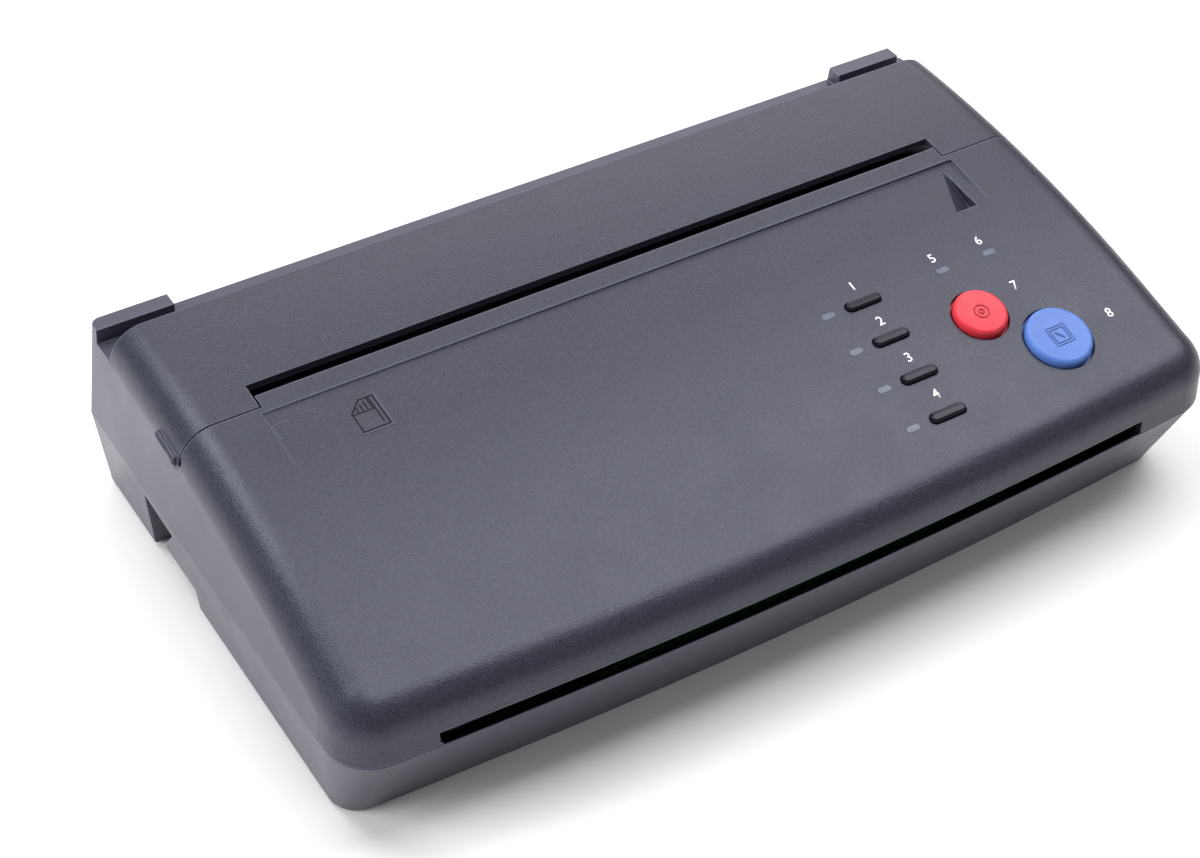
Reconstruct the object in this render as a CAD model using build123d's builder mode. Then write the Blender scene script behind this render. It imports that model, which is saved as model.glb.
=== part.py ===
"""Desktop thermal stencil copier, an office machine with a hinged rear lid.

Originals go in through the slot in the top, stencil paper through the rear, and both leave at the front.
Frame: origin on the table under the middle of the case, X to the right, Y to the rear, Z up.
Lengths are millimetres and angles degrees.
"""
import os
from math import acos, asin, atan2, cos, degrees, hypot, radians, sin, sqrt, tan

from build123d import *

# ------------------------------------------------------------------ case and cover form
overall_width = 280.0
overall_depth = 165.0
overall_height = 70.0
half_width = overall_width / 2
front_y = -overall_depth / 2        # middle of the bowed front, at the seam
rear_foot_y = overall_depth / 2 + 0.36   # rear edge of the underside before its edge is rounded

wall = 2.4                          # case wall
cover_wall = 2.2                    # front cover and lid
foot_lift = 0.5                     # underside above the table
seam_z = 30.3                       # rim where the front cover meets the case
side_draft = 2.8                    # upper side walls lean in
rear_draft = 8.5                    # upper rear wall leans in
front_bow = 4.6                     # the front bulges by this over the full width
rear_seam_y = 80.0
bottom_half_width = half_width - 4.5
bottom_front_y = front_y + 13.2
front_corner_radius = 13.0
bottom_corner_radius = 8.5
rear_corner_radius = 3.0
bottom_edge_round = 1.1

crest_y = 62.0                      # highest line of the top surface
crest_radius = 400.0                # long curve of the top surface
panel_slope = 16.0                  # straight slope in front of the curve
edge_round = 10.4                   # round between the top and the walls
parting_drop = 10.4                 # side parting line below the top surface
parting_gap = 0.3
cover_split_y = 16.7                # seam between front cover and lid
cover_split_gap = 0.5
side_wall_front_y = -62.9           # front end of the case's upper side walls
lid_rear_y = 60.9
deck_z = 60.3                       # rear deck behind the lid
opening_rear_y = 57.5               # rear edge of the opening under the lid

block_front_y = 69.7                # raised rear corner blocks
block_top_z = 65.1
block_left_x = (-half_width, -115.2)
block_right_x = (110.8, 133.6)
block_round = 1.4

channel_y = (18.0, 48.9)            # raised middle of the underside
channel_z = 10.4
notch_depth = 12.0                  # finger notches in the lower sides
notch_top = (25.3, 43.2)
notch_bottom = (37.8, 50.0)
notch_top_z = 27.0

# ------------------------------------------------------------------ paper openings
paper_middle_x = -2.2               # the drive takes more room on the right
slot_length = 225.2
slot_rear_y = 25.4
slot_gap = 4.45
tongue_end_gap = 0.6
exit_length = 225.6
exit_top_z = 35.1
exit_lip = 0.4                      # flat left on the rim under the exit slot
inlet_z = (33.3, 41.3)
inlet_length = 222.0
recess_rear_y = 14.3                # shallow rest for the original
recess_front_y = -5.5
recess_depth = 0.9
recess_x = (-115.3, 111.4)
pocket_x = (86.0, 106.6)            # finger pocket at the rest's right end
pocket_y = (-4.8, 9.6)
pocket_depth = 3.6

# ------------------------------------------------------------------ controls
control_slope = 14.5
control_y = -42.0
key_x = 52.7
key_rear_y = -21.7
key_pitch = 13.45
key_count = 4
key_length = 11.7
key_width = 3.1
key_proud = 1.2
lamp_x = 40.7
lamp_length = 4.2
lamp_width = 1.9
status_lamp_x = (81.2, 98.0)
stop_place = (81.3, -38.9)
stop_diameter = 17.6                # hole in the cover
copy_diameter = 21.4                # hole in the cover
button_spacing = (stop_diameter + copy_diameter) / 2 + 3.07
button_line = -43.4                 # direction from the stop button to the copy button
copy_place = (stop_place[0] + button_spacing * cos(radians(button_line)),
              stop_place[1] + button_spacing * sin(radians(button_line)))
button_proud = 2.2
button_gap = 0.85                   # all round each button's cap
control_gap = 0.35                  # all round each key
control_travel = 0.8
flange = 1.3                        # retaining flange under the cover, beyond the hole
flange_thickness = 1.2
flange_gap = 0.2
board_depth = 9.6                   # panel board's upper face under the top surface
board_thickness = 1.6
panel_board_x = (30.0, 112.0)
panel_board_y = (-68.0, -17.2)
switch_size = 6.0
switch_body = 3.4
plunger_height = 0.9
plunger_radius = 1.6
plunger_gap = 0.9                   # stem to plunger, a little over the travel

# ------------------------------------------------------------------ hinge and lift tabs
hinge_y = 64.5
hinge_z = 62.9
hinge_x = (-88.0, 88.0)
pin_radius = 1.25
pin_clearance = 0.08
post_radius = 2.6
ear_radius = 2.2
post_width = 4.0
ear_width = 9.0
ear_gap = 0.3
tab_y = (17.6, 28.6)
tab_height = 2.8
tab_round = 1.1
scoop_radius = 9.0                  # finger scoop under the tab
scoop_depth = 1.2

# ------------------------------------------------------------------ paper drive
plate_thickness = 1.2
plate_left_x = -119.2               # outer face of the left side plate
plate_right_x = 115.6               # outer face of the right side plate
plate_bottom_z = channel_z + wall
roller_ends_x = (-113.5, 109.5)
gear_module = 1.0
gear_x = 118.2
gear_width = 6.0
gear_backlash = 0.22
shaft_radius = 3.0
shaft_clearance = 0.05
bush_radius = 5.0
bush_flange_radius = 5.9
platen_place = (40.0, 24.0)
platen_radius = 8.0
platen_teeth = 20
feed_place = (15.0, 54.0)
feed_radius = 5.8
feed_teeth = 16
scan_y = -8.0
scan_drop = 9.1274                  # scan roller's axis under the cover's inner face
scan_radius = 5.8
scan_teeth = 16
exit_place = (-48.0, 37.4)
exit_radius = 5.1
exit_teeth = 14
motor_place = (4.5, 18.0)
motor_teeth = 12
motor_radius = 12.0
motor_length = 17.0
lower_idler_teeth = 21
upper_idler_teeth = 12
bridge_idler_teeth = 12
front_idler_teeth = 30
stub_radius = 2.0
paper_gap = 0.4                     # between a roller and what it runs against

os.makedirs("parts", exist_ok=True)


# ------------------------------------------------------------------ shared geometry
def surface_z(y):
    """Height of the top surface at y, at the middle of the machine."""
    slope = radians(panel_slope)
    tangent_y = crest_y - crest_radius * sin(slope)
    if y > tangent_y:
        return overall_height - crest_radius + sqrt(crest_radius**2 - (crest_y - y)**2)
    return overall_height - crest_radius * (1 - cos(slope)) - tan(slope) * (tangent_y - y)


scan_place = (scan_y, surface_z(scan_y) - cover_wall - scan_drop)


def half_width_at(z):
    """Half width of the drafted upper walls at height z."""
    return half_width - (z - seam_z) * tan(radians(side_draft))


def rear_wall_y(z):
    """Outer face of the rear wall at height z."""
    if z > seam_z:
        return rear_seam_y - (z - seam_z) * tan(radians(rear_draft))
    return rear_foot_y + (rear_seam_y - rear_foot_y) * (z - foot_lift) / (seam_z - foot_lift)


def plan_outline(z, half, front, rear, front_radius, rear_radius, inset=0.0):
    """Case outline seen from above: bowed front, rounded corners."""
    side = half - inset
    with BuildSketch(Plane.XY.offset(z)) as outline:
        with BuildLine():
            bow = ThreePointArc((-side, front + front_bow + inset), (0, front + inset),
                                (side, front + front_bow + inset))
            Polyline(bow @ 1, (side, rear - inset), (-side, rear - inset), bow @ 0)
        make_face()
        corners = outline.vertices().sort_by(Axis.Y)
        fillet(corners[:2], front_radius - inset)
        corners = outline.vertices().sort_by(Axis.Y)
        fillet(corners[-2:], max(rear_radius - inset, 0.5))
    return outline.sketch


def seam_outline(inset=0.0, rear=rear_seam_y):
    """Outline at the seam, where the case is widest."""
    return plan_outline(seam_z, half_width, front_y, rear, front_corner_radius, rear_corner_radius, inset)


def top_outline(inset=0.0):
    """Outline the walls lean in to at the full height."""
    lean = (overall_height - seam_z) * tan(radians(side_draft))
    return plan_outline(overall_height, half_width - lean, front_y + lean, rear_wall_y(overall_height),
                        front_corner_radius - lean, rear_corner_radius, inset)


def foot_outline(inset=0.0):
    """Outline of the underside."""
    return plan_outline(foot_lift, bottom_half_width, bottom_front_y, rear_foot_y,
                        bottom_corner_radius, rear_corner_radius, inset)


def profile_region(inset, front, rear, floor):
    """Side view of what lies under the top surface, lowered by inset, between two Y values."""
    with BuildSketch(Plane.YZ) as region:
        with BuildLine():
            crest = CenterArc((crest_y, overall_height - crest_radius), crest_radius - inset, 84,
                              6 + panel_slope)
            slope = Line(crest @ 1, crest @ 1 + (crest % 1) * 60)
            Polyline(slope @ 1, ((slope @ 1).X, 0), ((crest @ 0).X, 0), crest @ 0)
        make_face()
        with Locations((front, floor)):
            Rectangle(rear - front, 2 * overall_height, align=(Align.MIN, Align.MIN), mode=Mode.INTERSECT)
    return region.sketch


def cover_form(inset):
    """Solid inside the covers' outer skin, or inside their inner face when inset by the wall."""
    with BuildPart() as form:
        extrude(seam_outline(inset, rear_seam_y + 20), amount=overall_height, taper=side_draft)
        extrude(profile_region(inset, -overall_depth, lid_rear_y - inset, seam_z), amount=overall_width,
                both=True, mode=Mode.INTERSECT)
        top = form.faces().filter_by(lambda face: face.normal_at().Z > 0.9)
        rim = [edge for edge in top.edges()
               if edge.center().Y < lid_rear_y - inset - 1
               and (abs(edge.center().X) > 1 or edge.center().Y < front_y + 15)]
        fillet(rim, edge_round - inset)
    return form.part


def control_plane(x, y):
    """Plane of a key or button, on the top surface and square to it."""
    slope = min(asin((crest_y - y) / crest_radius), radians(panel_slope))
    return Plane(origin=(x, y, surface_z(y)), x_dir=(1, 0, 0), z_dir=(0, -sin(slope), cos(slope)))


def centre_between(first, first_reach, second, second_reach, side):
    """Place of an idler that meshes with two gears; side picks one of the two solutions."""
    span = hypot(second[0] - first[0], second[1] - first[1])
    along = (first_reach**2 - second_reach**2 + span**2) / (2 * span)
    across = side * sqrt(first_reach**2 - along**2)
    unit = ((second[0] - first[0]) / span, (second[1] - first[1]) / span)
    return (first[0] + along * unit[0] - across * unit[1], first[1] + along * unit[1] + across * unit[0])


def mesh_phase(place, teeth, phase, next_place, next_teeth):
    """Angle of the next gear's first tooth, so that it stands in mesh with this one."""
    line = degrees(atan2(next_place[1] - place[1], next_place[0] - place[0]))
    return line + 180 - (phase - line) * teeth / next_teeth + 180 / next_teeth


def pitch_radius(teeth):
    """Pitch radius of a gear of the drive's module."""
    return gear_module * teeth / 2


def export(piece, name):
    """Label a finished piece and write it as its own STEP file."""
    piece.part.label = name
    export_step(piece.part, f"parts/{name}.step")


outer_form = cover_form(0.0)
inner_form = cover_form(cover_wall)

# ------------------------------------------------------------------ base case
case_post_places = [(side * x, y) for x, y in ((128.0, -56.0), (129.0, 4.0)) for side in (-1, 1)]
case_post_radius = 4.0
case_post_top_z = 28.0
foot_places = [(x, y) for x in (-112.0, 112.0) for y in (-50.0, 66.0)]
foot_radius = 6.0
foot_recess = 1.0
foot_height = foot_lift + foot_recess
case_floor_z = foot_lift + wall
channel_floor_z = channel_z + wall
main_board_x = (-60.0, 84.0)
main_board_y = (-66.0, -16.0)
main_board_z = 8.0
board_post_inset = 5.0
board_post_places = [(x, y) for x in (main_board_x[0] + board_post_inset, main_board_x[1] - board_post_inset)
                     for y in (main_board_y[0] + board_post_inset, main_board_y[1] - board_post_inset)]
board_post_radius = 3.2
plate_post_y = -46.0
plate_post_x = (plate_left_x + 7.0, plate_right_x - 7.0)
plate_post_radius = 4.5
screw_radius = 1.5
screw_head_radius = 2.7
screw_head_depth = 3.0
board_screw_radius = 1.1
board_post_pilot = 4.5
led_height = 1.2
jack_place = (121.0, 15.0)
jack_radius = 5.6
switch_place = (121.0, 46.0)
rocker_width = 19.0
rocker_height = 12.6
lid_wall_x = half_width_at(surface_z(tab_y[0]) - parting_drop)
tab_reach = lid_wall_x + 1.4
scoop_place = (-(lid_wall_x + scoop_radius - scoop_depth), tab_y[0] + 1.6,
               surface_z(tab_y[0]) - parting_drop + 2.6)
switch_wall_y = rear_wall_y(switch_place[1])
switch_lean = radians(rear_draft)
switch_plane = Plane(origin=(switch_place[0], switch_wall_y, switch_place[1]), x_dir=(1, 0, 0),
                     z_dir=(0, -cos(switch_lean), -sin(switch_lean)))
rear_cut = rear_foot_y + 1 - rear_wall_y(inlet_z[1]) + wall + 4

with BuildPart() as wall_limits:
    extrude(profile_region(parting_drop, side_wall_front_y, lid_rear_y + parting_gap, seam_z), amount=half_width + 1,
            both=True)
    with BuildSketch(Plane.YZ) as deck_profile:
        with Locations((lid_rear_y + parting_gap, seam_z)):
            Rectangle(30, deck_z - seam_z, align=(Align.MIN, Align.MIN))
    extrude(amount=half_width + 1, both=True)
    for block_x in (block_left_x, block_right_x):
        with BuildSketch(Plane.XY.offset(deck_z - 1)):
            with Locations((block_x[0], block_front_y)):
                Rectangle(block_x[1] - block_x[0], 20, align=(Align.MIN, Align.MIN))
        extrude(amount=block_top_z - deck_z + 1)

with BuildPart() as upper_case:
    loft([seam_outline().face(), top_outline().face()], ruled=True)
    add(wall_limits.part, mode=Mode.INTERSECT)

with BuildPart() as cavity:
    loft([foot_outline(wall).face(), seam_outline(wall).face()], ruled=True)
    loft([seam_outline(wall).face(), top_outline(wall).face()], ruled=True)
    with BuildSketch(Plane.YZ) as cavity_profile:
        with BuildLine():
            Polyline((-overall_depth, case_floor_z), (channel_y[0] - wall, case_floor_z),
                     (channel_y[0] - wall, channel_floor_z), (channel_y[1] + wall, channel_floor_z),
                     (channel_y[1] + wall, case_floor_z), (overall_depth, case_floor_z),
                     (overall_depth, deck_z - wall), (opening_rear_y, deck_z - wall),
                     (opening_rear_y, 2 * overall_height), (-overall_depth, 2 * overall_height),
                     close=True)
        make_face()
    extrude(amount=overall_width, both=True, mode=Mode.INTERSECT)
    for side in (-1, 1):
        with BuildSketch(Plane.XY.offset(channel_z)):
            with Locations((side * (half_width - (notch_depth + wall) / 2), (notch_top[0] + notch_bottom[1]) / 2)):
                Rectangle(notch_depth + wall, notch_bottom[1] - notch_top[0] + 2 * wall)
        extrude(amount=notch_top_z + wall - channel_z, mode=Mode.SUBTRACT)

with BuildPart() as base_case:
    loft([foot_outline().face(), seam_outline().face()], ruled=True)
    underside = base_case.faces().sort_by(Axis.Z)[0]
    fillet(underside.edges(), bottom_edge_round)
    add(upper_case.part)
    add(cavity.part, mode=Mode.SUBTRACT)
    with BuildSketch(Plane.YZ) as channel_profile:
        with BuildLine():
            Polyline((channel_y[0] + 1.5, 0), (channel_y[0], channel_z), (channel_y[1] - 6, channel_z),
                     (channel_y[1] + 1.1, 0), close=True)
        make_face()
    extrude(amount=overall_width, both=True, mode=Mode.SUBTRACT)
    for side in (-1, 1):
        with BuildSketch(Plane.YZ.offset(side * (half_width - notch_depth / 2 + 0.5))) as notch_profile:
            with BuildLine():
                Polyline((notch_bottom[1], 0), (notch_top[1], notch_top_z), (notch_top[0], notch_top_z - 1.4),
                         (notch_bottom[0], channel_z), (notch_bottom[0] + 6, 0), close=True)
            make_face()
        extrude(amount=notch_depth / 2 + 0.5, both=True, mode=Mode.SUBTRACT)
    with Locations(Plane.XY.offset(case_floor_z)):
        with Locations(case_post_places):
            Cylinder(case_post_radius, case_post_top_z - case_floor_z, align=(Align.CENTER, Align.CENTER, Align.MIN))
        with Locations(board_post_places):
            Cylinder(board_post_radius, main_board_z - case_floor_z, align=(Align.CENTER, Align.CENTER, Align.MIN))
        with Locations([(x, plate_post_y) for x in plate_post_x]):
            Cylinder(plate_post_radius, plate_bottom_z - case_floor_z,
                     align=(Align.CENTER, Align.CENTER, Align.MIN))
    with Locations(Plane.XY.offset(foot_lift).rotated((180, 0, 0))):
        with Locations([(x, -y) for x, y in case_post_places]):
            CounterBoreHole(screw_radius + 0.2, screw_head_radius + 0.3, screw_head_depth + 4.0)
        with Locations([(x, -y) for x, y in foot_places]):
            Cylinder(foot_radius + 0.05, 2 * foot_recess, mode=Mode.SUBTRACT)
    with BuildSketch(Plane.XZ.offset(-rear_foot_y - 1)):
        with Locations((paper_middle_x, sum(inlet_z) / 2)):
            RectangleRounded(inlet_length, inlet_z[1] - inlet_z[0], 2.0)
    extrude(amount=rear_cut, mode=Mode.SUBTRACT)
    with BuildSketch(Plane.XZ.offset(-rear_foot_y - 1)):
        with Locations(jack_place):
            Circle(jack_radius)
    extrude(amount=rear_cut, mode=Mode.SUBTRACT)
    with BuildSketch(switch_plane.offset(-5)):
        Rectangle(rocker_width, rocker_height)
    extrude(amount=10, mode=Mode.SUBTRACT)
    with BuildPart(mode=Mode.SUBTRACT) as exit_bevel:
        extrude(seam_outline(exit_lip), amount=-2 * (wall - exit_lip), taper=45)
        with BuildSketch(Plane.XY):
            with Locations((paper_middle_x, front_y)):
                Rectangle(exit_length, 40)
        extrude(amount=overall_height, mode=Mode.INTERSECT)
    with Locations(scoop_place):
        Sphere(scoop_radius, mode=Mode.SUBTRACT)
    for hinge_middle_x in hinge_x:
        with BuildSketch(Plane.YZ.offset(hinge_middle_x)) as post_profile:
            with Locations((hinge_y, hinge_z)):
                Circle(post_radius)
            with Locations((hinge_y, deck_z - 0.5)):
                Rectangle(2 * post_radius, hinge_z - deck_z + 0.5, align=(Align.CENTER, Align.MIN))
            with Locations((hinge_y, hinge_z)):
                Circle(pin_radius + pin_clearance, mode=Mode.SUBTRACT)
        extrude(amount=post_width / 2, both=True)
    with Locations(Plane.XY.offset(main_board_z)):
        with Locations(board_post_places):
            Hole(board_screw_radius, depth=board_post_pilot)
    with Locations(Plane.XY.offset(plate_bottom_z)):
        with Locations([(x, plate_post_y) for x in plate_post_x]):
            Hole(board_screw_radius, depth=board_post_pilot)
export(base_case, "base_case")

# ------------------------------------------------------------------ front cover
boss_radius = 3.2
cover_reach = half_width + 5
tongue_x = (paper_middle_x - slot_length / 2 + tongue_end_gap, paper_middle_x + slot_length / 2 - tongue_end_gap)
slot_x = (paper_middle_x - slot_length / 2, paper_middle_x + slot_length / 2)
exit_x = (paper_middle_x - exit_length / 2, paper_middle_x + exit_length / 2)
key_places = [(key_x, key_rear_y - index * key_pitch) for index in range(key_count)]
lamp_places = [(lamp_x, y) for x, y in key_places]
status_places = [(x, key_rear_y + 0.3) for x in status_lamp_x]
panel_middle = ((panel_board_x[0] + panel_board_x[1]) / 2, control_y)
panel_size = (panel_board_x[1] - panel_board_x[0], panel_board_y[1] - panel_board_y[0])
panel_shift = (panel_board_y[0] + panel_board_y[1]) / 2 - control_y
panel_hole_inset = 3.0
panel_hole_places = [(side * (panel_size[0] / 2 - panel_hole_inset), y * (panel_size[1] / 2 - panel_hole_inset)
                      + panel_shift) for side in (-1, 1) for y in (-1, 1)]
panel_post_radius = 2.8


board_tilt = radians(control_slope)
board_plane = Plane(origin=(panel_middle[0], control_y, surface_z(control_y)), x_dir=(1, 0, 0),
                    z_dir=(0, -sin(board_tilt), cos(board_tilt))).offset(-board_depth)


def board_height(y):
    """Distance from the top surface at y down to the panel board, square to the board."""
    rise = surface_z(y) - surface_z(control_y)
    return board_depth - (y - control_y) * sin(board_tilt) + rise * cos(board_tilt)


with BuildPart() as front_cover:
    add(outer_form)
    add(inner_form, mode=Mode.SUBTRACT)
    with Locations(Plane.XY.offset(surface_z(6) - cover_wall - pocket_depth / 2)):
        with Locations(((pocket_x[0] + pocket_x[1]) / 2 + 3, sum(pocket_y) / 2)):
            Box(pocket_x[1] - pocket_x[0] + 2, pocket_y[1] - pocket_y[0] + 5, pocket_depth)
    with Locations(Plane.XY.offset(case_post_top_z)):
        with Locations(case_post_places):
            Cylinder(boss_radius, overall_height, align=(Align.CENTER, Align.CENTER, Align.MIN))
    with Locations(board_plane):
        with Locations(panel_hole_places):
            Cylinder(panel_post_radius, board_depth + 5, align=(Align.CENTER, Align.CENTER, Align.MIN))
    add(outer_form, mode=Mode.INTERSECT)
    with BuildSketch(Plane.XY) as cover_plan:
        with Locations((0, cover_split_y - cover_split_gap / 2)):
            Rectangle(2 * cover_reach, overall_depth, align=(Align.CENTER, Align.MAX))
        with Locations((paper_middle_x, slot_rear_y - slot_gap)):
            Rectangle(tongue_x[1] - tongue_x[0], 20, align=(Align.CENTER, Align.MAX))
    extrude(amount=2 * overall_height, mode=Mode.INTERSECT)
    with BuildPart(mode=Mode.SUBTRACT) as below_parting:
        extrude(profile_region(parting_drop - parting_gap, side_wall_front_y - parting_gap, overall_depth, 0),
                amount=cover_reach, both=True)
        with BuildSketch(Plane.XY):
            Rectangle(2 * cover_reach, 2 * overall_depth)
        extrude(amount=seam_z + parting_gap)
        with Locations(Plane.XY.offset(case_post_top_z)):
            with Locations(case_post_places):
                Cylinder(boss_radius, overall_height, align=(Align.CENTER, Align.CENTER, Align.MIN),
                         mode=Mode.SUBTRACT)
        with Locations(board_plane):
            with Locations(panel_hole_places):
                Cylinder(panel_post_radius, board_depth, align=(Align.CENTER, Align.CENTER, Align.MIN),
                         mode=Mode.SUBTRACT)
        with BuildSketch(Plane.XY.offset(surface_z(6) - cover_wall - pocket_depth)):
            with Locations(((pocket_x[0] + pocket_x[1]) / 2 + 3, sum(pocket_y) / 2)):
                Rectangle(pocket_x[1] - pocket_x[0] + 2, pocket_y[1] - pocket_y[0] + 5)
        extrude(amount=pocket_depth, mode=Mode.SUBTRACT)
    with BuildSketch(Plane.XZ.offset(-front_y * 0.7)) as exit_profile:
        with BuildLine():
            Polyline((exit_x[0] + 1.6, seam_z), (exit_x[0], seam_z + 1.6), (exit_x[0], exit_top_z),
                     (exit_x[1], exit_top_z), (exit_x[1], 0), (exit_x[0] + 1.6, 0), close=True)
        make_face()
    extrude(amount=60, mode=Mode.SUBTRACT)
    for rest_x, rest_step in ((recess_x[0], 0.55), (recess_x[1], 1.0)):
        with BuildSketch(Plane.YZ.offset(rest_x)) as rest_end:
            with BuildLine():
                Polyline((recess_rear_y, overall_height + 2),
                         (recess_rear_y, surface_z(recess_rear_y) - recess_depth * rest_step),
                         (recess_front_y, surface_z(recess_front_y)),
                         (recess_front_y, overall_height + 2), close=True)
            make_face()
    loft(mode=Mode.SUBTRACT)
    with BuildSketch(Plane.XY.offset(surface_z(0) + 1)) as pocket_mouth:
        with BuildLine():
            Polyline((pocket_x[1], pocket_y[0]), (pocket_x[1], pocket_y[1] + 3),
                     (pocket_x[1] - 11, pocket_y[0]), close=True)
        make_face()
    with BuildSketch(Plane.XY.offset(surface_z(0) - 3.4)) as pocket_floor:
        with BuildLine():
            Polyline((pocket_x[1], pocket_y[0]), (pocket_x[1], pocket_y[0] + 5),
                     (pocket_x[1] - 3, pocket_y[0]), close=True)
        make_face()
    loft(mode=Mode.SUBTRACT)
    for place in key_places:
        with BuildSketch(control_plane(*place).offset(-board_depth / 2)):
            SlotOverall(key_length + 2 * control_gap, key_width + 2 * control_gap)
        extrude(amount=board_depth, mode=Mode.SUBTRACT)
    for place in lamp_places + status_places:
        with BuildSketch(control_plane(*place).offset(-board_depth / 2)):
            SlotOverall(lamp_length + 0.1, lamp_width + 0.1)
        extrude(amount=board_depth, mode=Mode.SUBTRACT)
    for place, diameter in ((stop_place, stop_diameter), (copy_place, copy_diameter)):
        with BuildSketch(control_plane(*place).offset(-board_depth / 2)):
            Circle(diameter / 2)
        extrude(amount=board_depth, mode=Mode.SUBTRACT)
    with Locations(Plane.XY.offset(case_post_top_z)):
        with Locations(case_post_places):
            Cylinder(screw_radius, 10, align=(Align.CENTER, Align.CENTER, Align.MIN), mode=Mode.SUBTRACT)
    with Locations(board_plane):
        with Locations(panel_hole_places):
            Cylinder(board_screw_radius, 5, align=(Align.CENTER, Align.CENTER, Align.MIN), mode=Mode.SUBTRACT)
    with Locations(scoop_place):
        Sphere(scoop_radius, mode=Mode.SUBTRACT)
export(front_cover, "front_cover")

# ------------------------------------------------------------------ rear lid and its hinge pins
rib_height = 4.0
with BuildPart() as lift_tab:
    extrude(profile_region(parting_drop - parting_gap - tab_height, tab_y[0], tab_y[1], seam_z),
            amount=tab_reach, both=True)
    extrude(profile_region(parting_drop - parting_gap, -overall_depth, overall_depth, 0), amount=cover_reach,
            both=True, mode=Mode.SUBTRACT)
    with BuildSketch(Plane.XY):
        with Locations((-lid_wall_x + 1.2, 0)):
            Rectangle(2 * half_width, overall_depth, align=(Align.MIN, Align.CENTER))
    extrude(amount=overall_height, mode=Mode.SUBTRACT)
    tab_face = lift_tab.faces().sort_by(Axis.X)[0]
    fillet(tab_face.edges(), tab_round)
with BuildPart() as rear_cover:
    add(outer_form)
    add(inner_form, mode=Mode.SUBTRACT)
    with BuildSketch(Plane.XY) as lid_plan:
        with Locations((0, cover_split_y + cover_split_gap / 2)):
            Rectangle(2 * cover_reach, overall_depth, align=(Align.CENTER, Align.MIN))
        with Locations((paper_middle_x, slot_rear_y)):
            Rectangle(slot_x[1] - slot_x[0], 30, align=(Align.CENTER, Align.MAX), mode=Mode.SUBTRACT)
    extrude(amount=2 * overall_height, mode=Mode.INTERSECT)
    rib_profile = profile_region(cover_wall - 0.1, slot_rear_y + 8, lid_rear_y - 1, 0)
    rib_profile -= profile_region(cover_wall + rib_height, 0, overall_depth, 0)
    for rib_x in (-60.0, 0.0, 60.0):
        extrude(Location((rib_x, 0, 0)) * rib_profile, amount=0.8, both=True)
    extrude(profile_region(parting_drop - parting_gap, -overall_depth, overall_depth, 0), amount=cover_reach,
            both=True, mode=Mode.SUBTRACT)
    add(lift_tab.part)
    for hinge_middle_x in hinge_x:
        for side in (-1, 1):
            ear_x = hinge_middle_x + side * (post_width / 2 + ear_gap)
            with BuildSketch(Plane.YZ.offset(ear_x)) as ear_profile:
                with Locations((hinge_y, hinge_z)):
                    Circle(ear_radius)
                with BuildLine():
                    Polyline((hinge_y, hinge_z - ear_radius), (hinge_y, hinge_z + ear_radius),
                             (lid_rear_y - 0.5, hinge_z + ear_radius + 1.6),
                             (lid_rear_y - 0.5, hinge_z - ear_radius), close=True)
                make_face()
                with Locations((hinge_y, hinge_z)):
                    Circle(pin_radius, mode=Mode.SUBTRACT)
            extrude(amount=side * (ear_width - post_width) / 2)
export(rear_cover, "rear_cover")

with BuildPart() as hinge_pins:
    for hinge_middle_x in hinge_x:
        with BuildSketch(Plane.YZ.offset(hinge_middle_x)):
            with Locations((hinge_y, hinge_z)):
                Circle(pin_radius)
        extrude(amount=ear_width / 2 + ear_gap, both=True)
export(hinge_pins, "hinge_pins")

# ------------------------------------------------------------------ keys, buttons, lamps and their board
for index, place in enumerate(key_places):
    stem_length = board_height(place[1]) - switch_body - plunger_height - plunger_gap
    with BuildPart() as mode_key:
        with BuildSketch(control_plane(*place).offset(-cover_wall - flange_gap)) as key_outline:
            SlotOverall(key_length, key_width)
        extrude(amount=cover_wall + flange_gap + key_proud)
        top_edges = mode_key.faces().sort_by(lambda face: face.center().Z)[-1].edges()
        fillet(top_edges, 0.9)
        with BuildSketch(control_plane(*place).offset(-cover_wall - flange_gap)):
            SlotOverall(key_length + 2 * (control_gap + flange), key_width + 2 * (control_gap + flange))
        extrude(amount=-flange_thickness)
        with BuildSketch(control_plane(*place).offset(-cover_wall - flange_gap - flange_thickness)):
            Circle(plunger_radius + 0.6)
        extrude(amount=-(stem_length - cover_wall - flange_gap - flange_thickness))
    export(mode_key, f"mode_key_{index + 1}")

for name, place, diameter, dish in (("stop_button", stop_place, stop_diameter, 60.0),
                                    ("copy_button", copy_place, copy_diameter, 75.0)):
    stem_length = board_height(place[1]) - switch_body - plunger_height - plunger_gap
    cap_radius = diameter / 2 - button_gap
    with BuildPart() as button:
        with BuildSketch(control_plane(*place).offset(-cover_wall - flange_gap)):
            Circle(cap_radius)
        extrude(amount=cover_wall + flange_gap + button_proud)
        top_edges = button.faces().sort_by(lambda face: face.center().Z)[-1].edges()
        fillet(top_edges, 1.3)
        with Locations(control_plane(*place).offset(button_proud + dish - 0.45)):
            Sphere(dish, mode=Mode.SUBTRACT)
        with BuildSketch(control_plane(*place).offset(-cover_wall - flange_gap)):
            Circle(cap_radius + button_gap + flange)
        extrude(amount=-flange_thickness)
        with BuildSketch(control_plane(*place).offset(-cover_wall - flange_gap - flange_thickness)):
            Circle(plunger_radius + 1.2)
        extrude(amount=-(stem_length - cover_wall - flange_gap - flange_thickness))
    export(button, name)

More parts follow.
